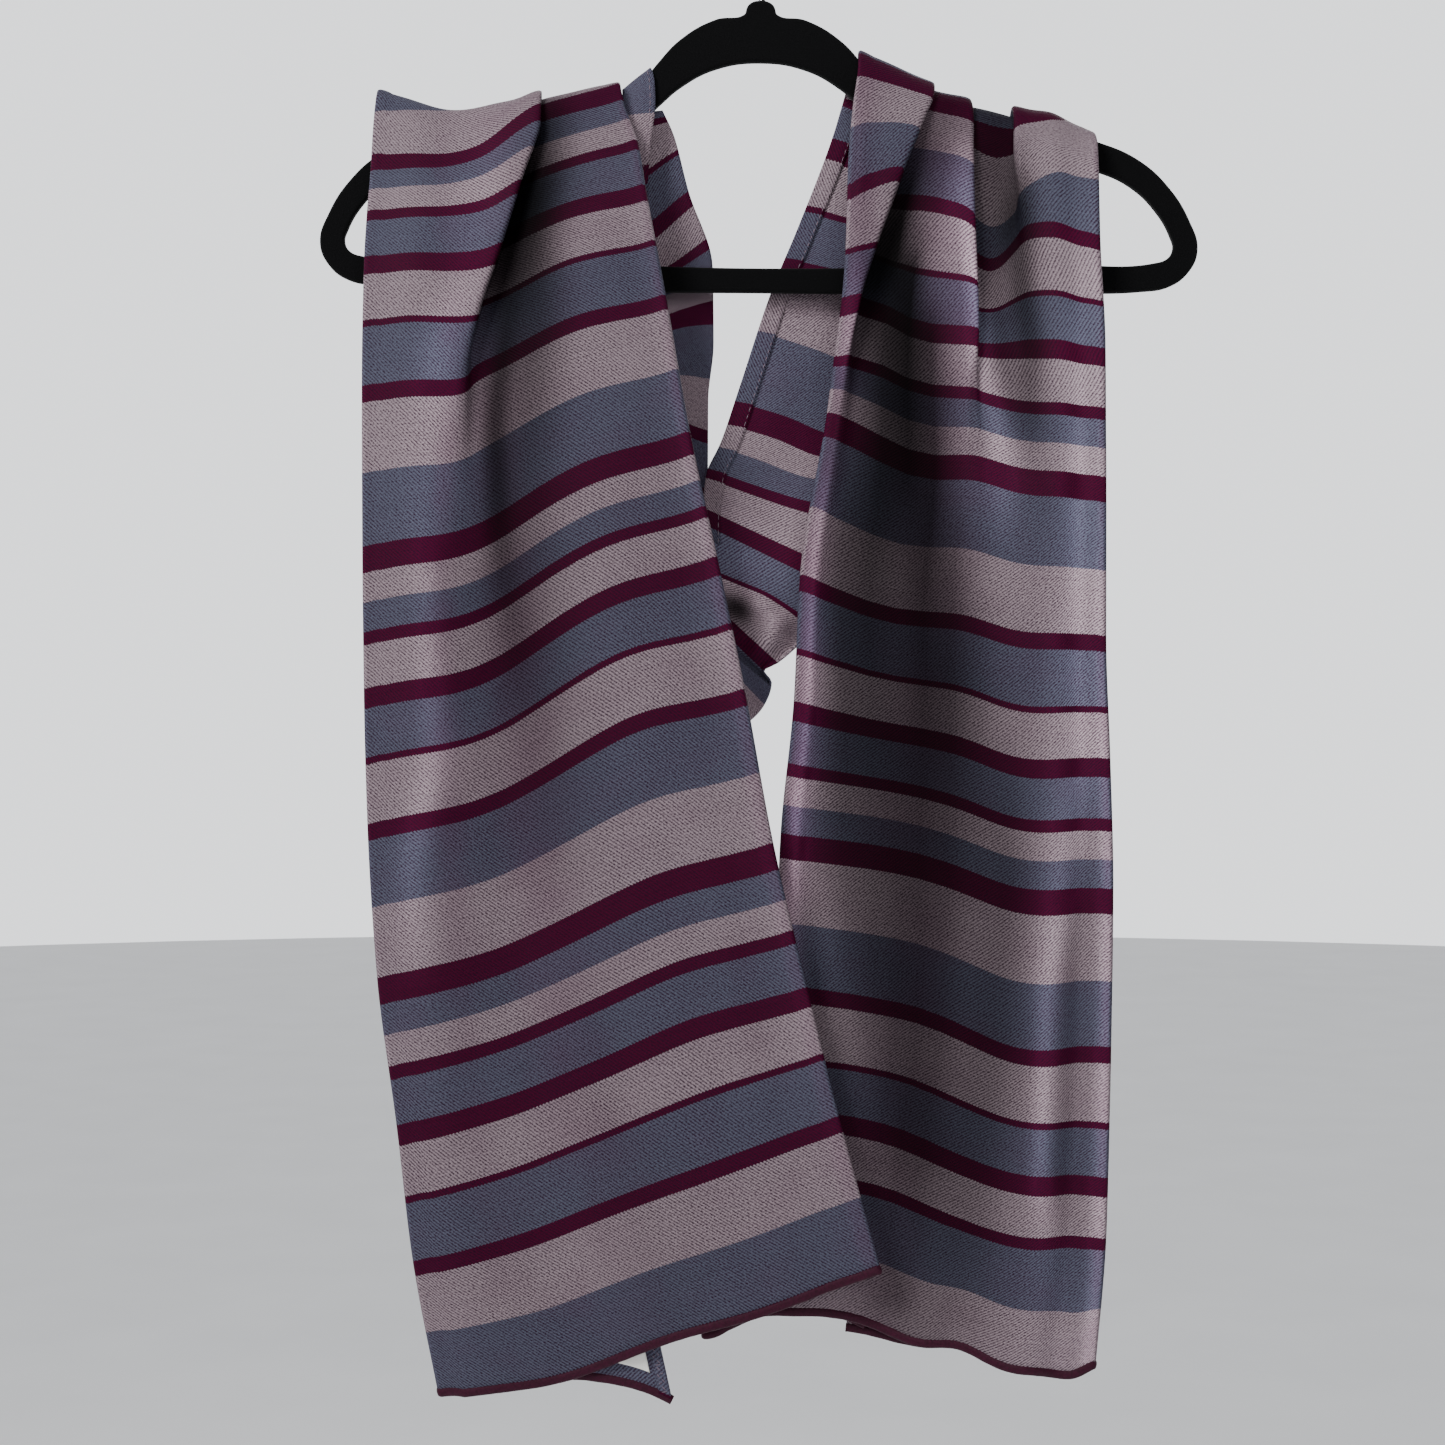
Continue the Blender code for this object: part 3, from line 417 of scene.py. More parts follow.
def patchStrength(table, cloth, across):
    # Strength of the soft patches of a table at a place of the back.
    found = 0.0
    for line in table:
        patch = dict(zip(patchColumns, line))
        along = hump((cloth - patch["cloth"]) / patch["alongHalf"])
        found = found + patch["strength"] * along * hump((across - patch["across"]) / patch["acrossHalf"])
    return found


pleatForm = {
    "leastGather": 0.607,   # in half widths: with more, the cloth turns back
    "rounds": 30,           # to find where
    "steepness": 3,
    "columns": 32,          # crowded within reach of its middle, in half widths,
    "reach": 2.4,
    "room": 0.44,           # or within this share of the way to the next pleat
    "spread": 0.28,         # share of the front's width over which its depth dies away
}


def foldShift(t):
    # Sideways travel through a pleat: +1 before its middle, -1 after it.
    return -t * np.exp(0.5 * (1 - t * t))


def foldTurn(fold):
    # Where the cloth turns back in a pleat, in half widths from its middle.
    ratio = max(fold["gather"] / fold["half"], pleatForm["leastGather"])
    u = 1.0
    for _ in range(pleatForm["rounds"]):
        u = np.exp(-u / 2) / ratio
    return float(np.sqrt(max(1 - u, 0.0)))


def foldStep(t, turn):
    # Depth through a pleat, from 0 in front to 1 behind, gained where the cloth turns back.
    steepness = pleatForm["steepness"]
    return 0.25 * (2 + np.tanh(steepness * (t + turn)) + np.tanh(steepness * (t - turn)))


def columnPlaces(panel, up):
    # Columns crowd in each pleat and spread evenly between the pleats.
    folds = [readTable(pleatColumns, pleat, up) for pleat in panel["pleats"]]
    centres = [0] + [fold["place"] for fold in folds] + [1]
    places = [0.0]
    for i, fold in enumerate(folds):
        room = pleatForm["room"] * min(centres[i + 1] - centres[i], centres[i + 2] - centres[i + 1])
        reach = min(pleatForm["reach"] * fold["half"], room)
        start = fold["place"] - reach
        places += list(np.linspace(places[-1], start, panel["between"][i] + 1)[1:])
        places += list(np.linspace(start, fold["place"] + reach, pleatForm["columns"] + 1)[1:])
    return np.array(places + list(np.linspace(places[-1], 1.0, panel["between"][-1] + 1)[1:]))


frontForm = {
    "lines": 150,
    "foldPitch": 3.4,      # mm between two layers at a fold,
    "crownPitch": 2,       # and over the arm,
    "closeTurn": 30,       # where they close up from this turn on, in degrees
    "levelTurn": 60,       # from here on the weft's height follows the gathered cloth
    "foldSteps": 6,
    "readings": 201,       # of the front's shape across, for the flaps behind it
    "ridgeFade": 0.06,     # the ridges die away toward the folds
    "inset": 0.05,         # and the front pulls in, over these shares of the width
    "waveHeight": 70,      # mm over which the hem's short waves die away
    "droopHeight": 480,    # and the flaps' droop
    "slipClose": 60,       # mm before its end over which the right front's slip closes
    "keptColumns": (4, 5),   # of the flaps, beside the folds, where the rest ends below the arm
}
foldAngles = stations(0, pi, frontForm["foldSteps"])[1:]
flapForm = {
    "near": 14,            # mm within which a flap clears the front's hollows
    "clear": 0.06,         # gained over this share of the width
    "room": 5,             # mm that it stands off beyond that,
    "open": 0.12,          # gained over this share of the width
    "overlap": 0.16,       # the right flap starts to pass behind the left one here
    "pass": 0.12,
    "passRoom": 3.6,
    "droopPower": 1.5,
}


def weftFall(row, across):
    # How far a weft line hangs below the chord between its two folds.
    fall = np.zeros_like(across)
    for name, middle, half in weftDips:
        fall = fall + row[name] * hump((across - middle) / half)
    return fall


def stripeSlip(places, lines, at, across):
    # Slip of the stripes at one height, for every place across.
    return smoothCurve(places, rowAt(lines, at), across)


def hemRise(panel, up, across):
    # The short waves of a front's low end.
    rise = np.zeros_like(across)
    lasting = max(0.0, 1 - up / frontForm["waveHeight"])
    for middle, half, height in panel["hemWaves"]:
        rise = rise + height * hump((across - middle) / half) * lasting
    return rise


def frontLayer(panel, up, q):
    # One weft line of a front: q runs from the left fold (0) to the right fold (1).
    row = readTable(frontColumns, panel["rows"], up)
    across = q.copy()
    behind = np.zeros_like(q)
    for pleat in panel["pleats"]:
        fold = readTable(pleatColumns, pleat, up)
        t = (q - fold["place"]) / fold["half"]
        across = across + fold["gather"] * foldShift(t)
        step = foldStep(t, foldTurn(fold)) - 0.5
        behind = behind + fold["depth"] * step * hump((q - fold["place"]) / pleatForm["spread"])
    share = min(up / panel["crown"], 1.0)
    fade = np.clip(np.minimum(q, 1 - q) / frontForm["ridgeFade"], 0, 1)
    behind = behind - bandStrength(panel["ridges"], share, across) * fade
    level = q + (across - q) * min(row["turn"] / frontForm["levelTurn"], 1.0)
    z = between(row, "leftZ", "rightZ", level) - weftFall(row, level) * fade + hemRise(panel, up, level)
    plane = between(row, "leftY", "rightY", level)
    return between(row, "leftX", "rightX", across), z, behind, plane, radians(row["turn"])


def frontSection(panel, up):
    # Points round one weft line, with their way across the cloth: left flap, fold, front, fold
    # and right flap.
    flaps = dict(zip(flapColumns, panel["flaps"]))
    leftCount, rightCount = panel["flapColumns"]
    fine = np.linspace(0, 1, frontForm["readings"])
    fx, fz, fBehind, fPlane, turn = frontLayer(panel, up, fine)
    width = fx[-1] - fx[0]
    over = min(max(turn / radians(frontForm["closeTurn"]) - 1, 0.0), 1.0)
    pitch = frontForm["foldPitch"] + (frontForm["crownPitch"] - frontForm["foldPitch"]) * over
    radius = pitch / 2
    hang = max(0.0, 1 - up / frontForm["droopHeight"])
    row = readTable(frontColumns, panel["rows"], up)
    levelZ = between(row, "leftZ", "rightZ", fine) - weftFall(row, fine) + hemRise(panel, up, fine)
    points = []

    def place(x, z, plane, inward, across):
        points.append((x, plane + inward * cos(turn), z - inward * sin(turn), across))

    def flapPoint(fraction, fromFold, side, extra, across):
        near = np.abs(fx - (fx[0] + width * fraction)) < flapForm["near"]
        clear = fBehind[near].max() + frontForm["foldPitch"]
        room = pitch + flapForm["room"] * min(1.0, fromFold / flapForm["open"]) + extra
        inward = room + (max(room, clear + extra) - room) * min(1.0, fromFold / flapForm["clear"])
        inward = inward + (pitch + fBehind[0 if fraction < 0.5 else -1] - inward) * over
        free = max(2 * fromFold / flaps[side + "Reach"] - 1, 0.0) ** flapForm["droopPower"]
        z = np.interp(fraction, fine, levelZ) - flaps[side + "Droop"] * hang * free
        place(fx[0] + width * fraction, z, np.interp(fraction, fine, fPlane), inward, across)

    edge = radius / width
    for i in range(leftCount, 0, -1):
        fromFold = (flaps["leftReach"] - edge) * i / leftCount
        flapPoint(edge + fromFold, fromFold, "left", 0, -fromFold * scarf["width"])
    for angle in reversed(foldAngles):
        inward = fBehind[0] + radius * (1 - cos(angle))
        place(fx[0] + radius * (1 - sin(angle)), fz[0], fPlane[0], inward, -radius * angle)
    q = columnPlaces(panel, up)
    x, z, behind, plane, turn = frontLayer(panel, up, q)
    reach = frontForm["inset"]
    inset = radius * (np.clip(1 - q / reach, 0, 1) - np.clip(1 - (1 - q) / reach, 0, 1))
    for i in range(len(q)):
        place(x[i] + inset[i], z[i], plane[i], behind[i], q[i] * scarf["width"])
    for angle in foldAngles:
        inward = fBehind[-1] + radius * (1 - cos(angle))
        across = scarf["width"] + radius * angle
        place(fx[-1] - radius * (1 - sin(angle)), fz[-1], fPlane[-1], inward, across)
    for i in range(1, rightCount + 1):
        fromFold = (flaps["rightReach"] - edge) * i / rightCount
        fraction = 1 - edge - fromFold
        passing = (flaps["leftReach"] + flapForm["overlap"] - fraction) / flapForm["pass"]
        extra = flapForm["passRoom"] * np.clip(passing, 0, 1)
        flapPoint(fraction, fromFold, "right", extra, scarf["width"] * (1 + fromFold))
    return points


backForm = {
    "columns": 60, "lines": 240,
    "endEase": 40,          # mm at each end over which the swells die away
    "flapColumns": 8,
    "flapReach": 28,        # mm of the low edge that is turned forward,
    "flapShare": 0.45,      # and at most this share of the back's width
    "flapLift": 1.5,
    "bare": (1080, 1190),   # mm along the cloth where the flap is left out
    "keptColumns": 4,       # of it, beside the fold, that stay there
}


def backPoint(cloth, across, lift=0.0):
    # A point of the back: across runs from the neck edge (0) to the low edge (1).
    row = readTable(backColumns, backRows, cloth)
    inner = np.array((row["innerX"], row["innerY"], row["innerZ"]))
    outer = np.array((row["outerX"], row["outerY"], row["outerZ"]))
    point = inner + (outer - inner) * across
    ends = min(cloth - backRows[0][0], backRows[-1][0] - cloth)
    ease = min(1.0, ends / backForm["endEase"])
    point[1] -= patchStrength(backSwells, cloth, across) * max(0.0, ease) + lift
    return point


def backSection(cloth):
    # Neck edge, across, round the low fold, and the flap turned forward.
    shares = stations(0, 1, backForm["columns"])
    points = [(*backPoint(cloth, share), share * scarf["width"]) for share in shares]
    row = readTable(backColumns, backRows, cloth)
    along = np.array((row["outerX"] - row["innerX"], 0, row["outerZ"] - row["innerZ"]))
    along = along / np.linalg.norm(along)
    edge = np.array(points[-1][:3])
    radius = frontForm["foldPitch"] / 2
    for angle in foldAngles:
        turned = edge + along * radius * sin(angle) + np.array((0, -radius * (1 - cos(angle)), 0))
        points.append((*turned, scarf["width"] + radius * angle))
    width = np.linalg.norm(np.array(points[0][:3]) - edge)
    reach = min(backForm["flapReach"], width * backForm["flapShare"])
    for share in stations(0, 1, backForm["flapColumns"])[1:]:
        lift = frontForm["foldPitch"] + backForm["flapLift"] * share
        level = backPoint(cloth, 1 - share * reach / width, lift)
        points.append((*level, scarf["width"] + reach * share))
    return points


# Shade of a pleat's deep side, in half widths from its middle: where it starts, over what it
# rises, and how far it stays whole
deepSide = {"start": -1.0, "rise": 0.4, "whole": 1.3}


def foldShade(panel, up, q):
    # Painted darkness of the pleats' deep sides, right behind their front edges, and of the long folds.
    x = frontLayer(panel, up, q)[0]
    across = (x - x[0]) / (x[-1] - x[0])
    stops = np.full_like(q, frontsLight)
    for fold in panel["lights"]:
        soft = readTable(lightColumns, fold, up)
        stops = stops + soft["light"] * hump((across - soft["place"]) / soft["half"])
    light = np.exp(stops)
    for pleat, shades in zip(panel["pleats"], panel["shades"]):
        fold = readTable(pleatColumns, pleat, up)
        shade = readTable(shadeColumns, shades, up)
        t = (q - fold["place"]) / fold["half"] * (1 if pleat[-1][-1] > 0 else -1)
        inside = np.clip((t - deepSide["start"]) / deepSide["rise"], 0, 1)
        beyond = np.maximum(t - deepSide["whole"] - shade["reach"] / 2, 0)
        light = light * (1 - shade["dark"] * inside * hump(beyond / shade["reach"]))
    return 1 - light


def addObject(name, data, material=None):
    if material:
        data.materials.append(material)
    added = bpy.data.objects.new(name, data)
    bpy.context.scene.collection.objects.link(added)
    return added


def meshData(name, mesh):
    data = bpy.data.meshes.new(name)
    mesh.to_mesh(data)
    mesh.free()
    return data


def placePiece(piece, slot, *nodes):
    # Each piece rides on the one body, and most stand in for solids of the frame.
    if nodes:
        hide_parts(*nodes)
    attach(piece, "root")
    return piece


def sheetMesh(
    name, rows, alongs, material, wall=scarf["wall"], skip=None, tints=None, picks=None, zero=0
):
    # A grid of points with their cloth coordinates in metres as a UV map, given its thickness.
    # alongs holds one way along the scarf for each line, or one for each point; picks holds the
    # same without the stripes' slip, for the weave, which is measured across from the column zero.
    picks = alongs if picks is None else [[pick] * len(rows[0]) for pick in picks]
    picks = [pick if np.ndim(pick) else [pick] * len(rows[0]) for pick in picks]
    alongs = [along if np.ndim(along) else [along] * len(rows[0]) for along in alongs]
    down = len(rows)
    across = len(rows[0])
    mesh = bmesh.new()
    places = mesh.loops.layers.uv.new("cloth")
    weaves = mesh.loops.layers.uv.new("weave")
    spans = []
    for row in rows:
        steps = np.linalg.norm(np.diff(np.array([point[:3] for point in row], float), axis=0), axis=1)
        reach = np.concatenate(([0], np.cumsum(steps)))
        spans.append(reach - reach[zero])
    # tints are float layers on the points: the painted shot sheen and the painted shade and light of the
    # folds
    layers = {tint: mesh.verts.layers.float.new(tint) for tint in tints or {}}
    vertices = [[mesh.verts.new([value * mm for value in point[:3]]) for point in row] for row in rows]
    for tint, layer in layers.items():
        for line, shares in zip(vertices, tints[tint]):
            for vertex, share in zip(line, shares):
                vertex[layer] = share
    for j in range(down - 1):
        for i in range(across - 1):
            if skip and skip(i, j):
                continue
            corners = ((i, j), (i + 1, j), (i + 1, j + 1), (i, j + 1))
            face = mesh.faces.new([vertices[b][a] for a, b in corners])
            face.smooth = True
            for loop, (a, b) in zip(face.loops, corners):
                loop[places].uv = (rows[b][a][3] * mm, alongs[b][a] * mm)
                loop[weaves].uv = (spans[b][a] * mm, picks[b][a] * mm)
    bmesh.ops.delete(mesh, geom=[v for v in mesh.verts if not v.link_faces], context="VERTS")
    sheet = addObject(name, meshData(name, mesh), material)
    solid = sheet.modifiers.new("cloth wall", "SOLIDIFY")
    solid.thickness = wall * mm
    solid.offset = 0
    return sheet


def addNode(tree, kind, inputs=None, **settings):
    node = tree.nodes.new(kind)
    for name, value in settings.items():
        setattr(node, name, value)
    for name, value in (inputs or {}).items():
        if isinstance(value, bpy.types.NodeSocket):
            tree.links.new(value, node.inputs[name])
        else:
            node.inputs[name].default_value = value
    return node


def freshMaterial(name):
    material = bpy.data.materials.new(name)
    material.use_nodes = True
    tree = material.node_tree
    return material, tree, tree.nodes["Principled BSDF"]


def setSockets(shader, values):
    for name, value in values.items():
        shader.inputs[name].default_value = value


# Twill of soft dyed yarn, woven with a burgundy warp: lengths in mm, shares without a unit. Its
# unevennesses are counted per metre across and along, so 900 is one each 1.1 mm.
twill = {
    "tooth": 0.9, "diagonal": 0.9,   # half the width of a stripe edge's teeth, and of the diagonals
    "wander": 0.3,                   # of the diagonals
    "speckle": (900, 1200), "cloudy": (22, 12), "streaky": (24, 520), "patchy": (30, 42), "soft": (26, 20),
    # how much warp shows: by the diagonals, the flecks and the clouds, and less where the painted shot sheen
    # is below zero
    "warpSlant": 0.84, "warpSpeckle": 1.7, "warpBase": -1.03, "warpCloud": 0.3, "warpHidden": 0.14,
    "warpLeast": 0.04, "warpMost": 0.94,
    # how plum the pale stripes turn, by the painted shot sheen and in random patches
    "plumShare": 0.5, "plumPatch": 0.5, "plumBase": -0.24, "plumMost": 0.75,
    "paleGreen": 0.02,               # burgundy has less green than this
    "streak": 0.24,
    "brightest": 1.2, "palest": 3,   # most light on burgundy, and how much more pale yarn takes
    "faceWhole": 0.1, "faceNone": 0.5,   # turn to the back up to which light is painted, and from which not
    "roll": 3, "rollStrength": 0.5, "yarn": 0.25, "yarnStrength": 0.45, "yarnSpeckle": 0.5,
    "finish": {
        "Roughness": 0.55, "Specular IOR Level": 0.025,
        "Sheen Weight": 0.015, "Sheen Roughness": 0.3, "Sheen Tint": linear(dyes["rose"]),
    },
}


def makeTwill(name, mirrored=False):
    # Weft stripes, the warp that shows through them as fine diagonals, a painted shot sheen where the cloth
    # turns, the painted shade and light of the folds, and uneven yarn along the weft: a matt heather with a
    # faint sheen.
    material, tree, shader = freshMaterial(name)
    uv = addNode(tree, "ShaderNodeUVMap", uv_map="cloth").outputs["UV"]
    split = addNode(tree, "ShaderNodeSeparateXYZ", {"Vector": uv})
    across, along = split.outputs["X"], split.outputs["Y"]
    plainUv = addNode(tree, "ShaderNodeUVMap", uv_map="weave").outputs["UV"]
    yarns = addNode(tree, "ShaderNodeSeparateXYZ", {"Vector": plainUv})

    def compute(operation, first, second=0.0, third=0.0):
        inputs = {0: first, 1: second, 2: third}
        return addNode(tree, "ShaderNodeMath", inputs, operation=operation).outputs[0]

    def yarnNoise(kind, detail):
        place = addNode(tree, "ShaderNodeMapping", {"Vector": plainUv, "Scale": (*twill[kind], 1)})
        inputs = {"Vector": place.outputs["Vector"], "Scale": 1, "Detail": detail}
        return addNode(tree, "ShaderNodeTexNoise", inputs).outputs["Fac"]

    # serrated stripe edges: the weft floats stand out by half a millimetre
    serrated = compute("MULTIPLY_ADD", compute("PINGPONG", across, twill["tooth"] * mm), 0.5, along)
    end = scarf["length"] + scarf["rightSlip"]
    ordinary = compute("SUBTRACT", serrated, scarf["hem"] * mm)
    closing = compute("SUBTRACT", (end + scarf["repeat"]) * mm, serrated)
    atClose = compute("GREATER_THAN", serrated, (end - scarf["lastStripes"]) * mm)
    distance = compute("MULTIPLY_ADD", atClose, compute("SUBTRACT", closing, ordinary), ordinary)
    place = compute("FRACT", compute("DIVIDE", distance, 2 * scarf["repeat"] * mm))
    ramp = addNode(tree, "ShaderNodeValToRGB", {"Fac": place})
    ramp.color_ramp.interpolation = "CONSTANT"
    elements = ramp.color_ramp.elements
    swapped = {"slate": "taupe", "taupe": "slate", "burgundy": "burgundy"}
    start = 0.0
    for half in (0, 1):
        for until, dye in stripes:
            element = elements.new(start) if start else elements[0]
            element.color = linear(dyes[swapped[dye] if half else dye])
            start = (until + half * scarf["repeat"]) / (2 * scarf["repeat"])
    elements.remove(elements[-1])

    # twill diagonals, drawn 1.8 mm apart so that they show, where the real ones are about 1 mm,
    # and broken up by the uneven yarn into the cream and dark flecks of a heather
    slant = compute("SUBTRACT" if mirrored else "ADD", yarns.outputs["X"], yarns.outputs["Y"])
    speckle = yarnNoise("speckle", 1)
    uneven = compute("MULTIPLY_ADD", speckle, twill["wander"] * mm, slant)
    pitch = twill["diagonal"] * mm
    diagonal = compute("DIVIDE", compute("PINGPONG", uneven, pitch), pitch)
    # the painted shot sheen, kept in the layer named warp
    turned = addNode(tree, "ShaderNodeAttribute", attribute_name="warp").outputs["Fac"]
    flecks = compute("MULTIPLY_ADD", speckle, twill["warpSpeckle"], twill["warpBase"])
    weave = compute("MULTIPLY_ADD", diagonal, twill["warpSlant"], flecks)
    weave = compute("MULTIPLY_ADD", compute("MINIMUM", turned, 0), twill["warpHidden"], weave)
    weave = compute("MULTIPLY_ADD", yarnNoise("cloudy", 3), twill["warpCloud"], weave)
    shown = compute("MINIMUM", compute("MAXIMUM", weave, twill["warpLeast"]), twill["warpMost"])
    patches = compute("MULTIPLY_ADD", yarnNoise("patchy", 2), twill["plumPatch"], twill["plumBase"])
    shot = compute("MULTIPLY_ADD", turned, twill["plumShare"], patches)
    shot = compute("MAXIMUM", compute("MINIMUM", shot, twill["plumMost"]), 0)
    channels = addNode(tree, "ShaderNodeSeparateColor", {"Color": ramp.outputs["Color"]})
    pale = compute("GREATER_THAN", channels.outputs["Green"], twill["paleGreen"])
    tinted = addNode(tree, "ShaderNodeMix", {
        "Factor": compute("MULTIPLY", shot, pale), "A": ramp.outputs["Color"], "B": linear(dyes["plum"]),
    }, data_type="RGBA")
    woven = addNode(tree, "ShaderNodeMix", {
        "Factor": shown, "A": tinted.outputs["Result"], "B": linear(dyes["warp"]),
    }, data_type="RGBA")

    # the folds' painted light, not on the side of the cloth that faces the back
    painted = addNode(tree, "ShaderNodeAttribute", attribute_name="shade").outputs["Fac"]
    normal = addNode(tree, "ShaderNodeNewGeometry").outputs["Normal"]
    facing = addNode(tree, "ShaderNodeSeparateXYZ", {"Vector": normal})
    front = addNode(tree, "ShaderNodeMapRange", {
        "Value": facing.outputs["Y"], "From Min": twill["faceWhole"], "From Max": twill["faceNone"],
        "To Min": 1, "To Max": 0,
    })
    shade = compute("MULTIPLY", painted, front.outputs["Result"])
    streaks = compute("MULTIPLY_ADD", yarnNoise("streaky", 2), twill["streak"], 1 - twill["streak"] / 2)
    level = compute("MULTIPLY", streaks, compute("SUBTRACT", 1, shade))
    level = compute("MINIMUM", level, compute("MULTIPLY_ADD", pale, twill["palest"], twill["brightest"]))
    toned = addNode(tree, "ShaderNodeHueSaturation", {"Value": level, "Color": woven.outputs["Result"]})
    tree.links.new(toned.outputs["Color"], shader.inputs["Base Color"])
    rolling = addNode(tree, "ShaderNodeBump", {
        "Height": yarnNoise("soft", 2), "Strength": twill["rollStrength"], "Distance": twill["roll"] * mm,
    })
    height = compute("MULTIPLY_ADD", speckle, twill["yarnSpeckle"], diagonal)
    bump = addNode(tree, "ShaderNodeBump", {
        "Height": height, "Strength": twill["yarnStrength"], "Distance": twill["yarn"] * mm,
        "Normal": rolling.outputs["Normal"],
    })
    tree.links.new(bump.outputs["Normal"], shader.inputs["Normal"])
    setSockets(shader, twill["finish"])
    return material


def noisyMaterial(name, dye, sockets, grain, depth, strength, tone):
    # One dye with a fine grain in its colour and its height: the grain is counted per metre, and
    # its depth is in mm. Most of the noise lies between 0.3 and 0.7.
    material, tree, shader = freshMaterial(name)
    place = addNode(tree, "ShaderNodeTexCoord").outputs["Object"]
    fine = addNode(tree, "ShaderNodeTexNoise", {"Vector": place, "Scale": grain, "Detail": 3}).outputs["Fac"]
    level = addNode(tree, "ShaderNodeMapRange", {
        "Value": fine, "From Min": 0.3, "From Max": 0.7, "To Min": 1 - tone, "To Max": 1 + tone,
    })
    toned = addNode(tree, "ShaderNodeHueSaturation", {
        "Value": level.outputs["Result"], "Color": linear(dyes[dye]),
    })
    tree.links.new(toned.outputs["Color"], shader.inputs["Base Color"])
    bump = addNode(tree, "ShaderNodeBump", {"Height": fine, "Strength": strength, "Distance": depth * mm})
    tree.links.new(bump.outputs["Normal"], shader.inputs["Normal"])
    setSockets(shader, sockets)
    return material


# The photograph's view, in metres: square frame, 1.1 m in front, level with the cloth's middle
view = {"at": (-0.02, -1.1, -0.4316), "lens": 54.16}
cameraData = bpy.data.cameras.new("camera")
cameraData.lens = view["lens"]
camera = addObject("camera", cameraData)
camera.location = view["at"]
camera.rotation_euler = (pi / 2, 0, 0)
bpy.context.scene.camera = camera
print("camera placed")

# Floor, and the soft lights of a plain studio, in metres
studio = {
    "floorRadius": 14, "floorLevel": -1.9, "aim": (0, 0, -0.42),
    "air": "e9ebee", "airInFront": 0.15, "airBehind": 2, "airTurns": (-0.4, 0.7),
}
lamps = {
    "key": {"at": (-1.1, -1.45, 0.75), "watts": 48, "size": 0.8},
    "fill": {"at": (0.3, -2.3, 0.1), "watts": 18, "size": 0.8},
    "back": {"at": (0.8, 2.2, 0.6), "watts": 26, "size": 1.8},
}
floorMesh = bmesh.new()
bmesh.ops.create_circle(floorMesh, cap_ends=True, segments=96, radius=studio["floorRadius"])
floorPaint = noisyMaterial("matt pale floor", "floor", {"Roughness": 0.85}, 3, 1, 0.05, 0.02)
floor = addObject("floor", meshData("floor", floorMesh), floorPaint)
floor.location = (0, 0, studio["floorLevel"])

# The air is bright behind the object and dim in front of it, so that its folds keep their shade
world = bpy.data.worlds.new("studio")
bpy.context.scene.world = world
world.use_nodes = True
sky = world.node_tree
heading = addNode(sky, "ShaderNodeTexCoord").outputs["Generated"]
direction = addNode(sky, "ShaderNodeSeparateXYZ", {"Vector": heading})
brightness = addNode(sky, "ShaderNodeMapRange", {
    "Value": direction.outputs["Y"],
    "From Min": studio["airTurns"][0], "From Max": studio["airTurns"][1],
    "To Min": studio["airInFront"], "To Max": studio["airBehind"],
})
sky.nodes["Background"].inputs["Color"].default_value = linear(studio["air"])
sky.links.new(brightness.outputs["Result"], sky.nodes["Background"].inputs["Strength"])
for name, lamp in lamps.items():
    light = bpy.data.lights.new(name, "AREA")
    light.energy = lamp["watts"]
    light.size = lamp["size"]
    lampObject = addObject(name, light)
    lampObject.location = lamp["at"]
    toward = Vector(studio["aim"]) - Vector(lamp["at"])
    lampObject.rotation_euler = toward.to_track_quat("-Z", "Y").to_euler()
print("stage lit")

# Columns of points: between are those beside and between the pleats, from left to right
leftPanel = {
    "rows": leftFrontRows, "crown": 648, "between": (22, 26), "flapColumns": (24, 36),
    "pleats": leftPleats, "ridges": leftRidges, "flaps": leftFlaps, "hemWaves": (),
    "slips": (leftSlipPlaces, leftSlips), "plum": leftShotSheen, "shades": leftShades, "lights": leftLights,
}
rightPanel = {
    "rows": rightFrontRows, "crown": 645, "between": (10, 4, 6, 22), "flapColumns": (20, 36),
    "pleats": rightPleats, "ridges": rightRidges, "flaps": rightFlaps, "hemWaves": rightHemWaves,
    "slips": (rightSlipPlaces, rightSlips), "plum": rightShotSheen, "shades": rightShades, "lights": rightLights,
}

faceTwill = makeTwill("striped twill, right side")
wrongTwill = makeTwill("striped twill, wrong side", True)
# Rolled and oversewn yarn: matt, with the furrows of its 1 mm threads
hemYarn = noisyMaterial("oversewn burgundy hem yarn", "hem", {
    "Roughness": 0.65, "Specular IOR Level": 0.15, "Sheen Weight": 0.06, "Sheen Tint": linear(dyes["rose"]),
}, 900, 0.3, 0.5, 0.3)
# Tightly woven polyester label, smoother than the cloth
labelCloth = noisyMaterial("woven polyester label", "label", {"Roughness": 0.7}, 1400, 0.1, 0.3, 0.05)
# Nylon flock on moulded polystyrene: its upright fibres swallow nearly all light
flock = noisyMaterial("black nylon flock", "flock", {
    "Roughness": 1, "Specular IOR Level": 0.1, "Sheen Weight": 0.05,
}, 1500, 0.3, 0.6, 0.4)
# Drawn steel wire, polished and chromed: bright, with faint draw marks
chrome = noisyMaterial("chromed steel wire", "chrome", {
    "Roughness": 0.16, "Metallic": 1,
}, 300, 0.02, 0.1, 0.02)
threadYarn = noisyMaterial("spun sewing thread", "thread", {"Roughness": 0.6}, 2000, 0.1, 0.3, 0.1)
print("materials made")


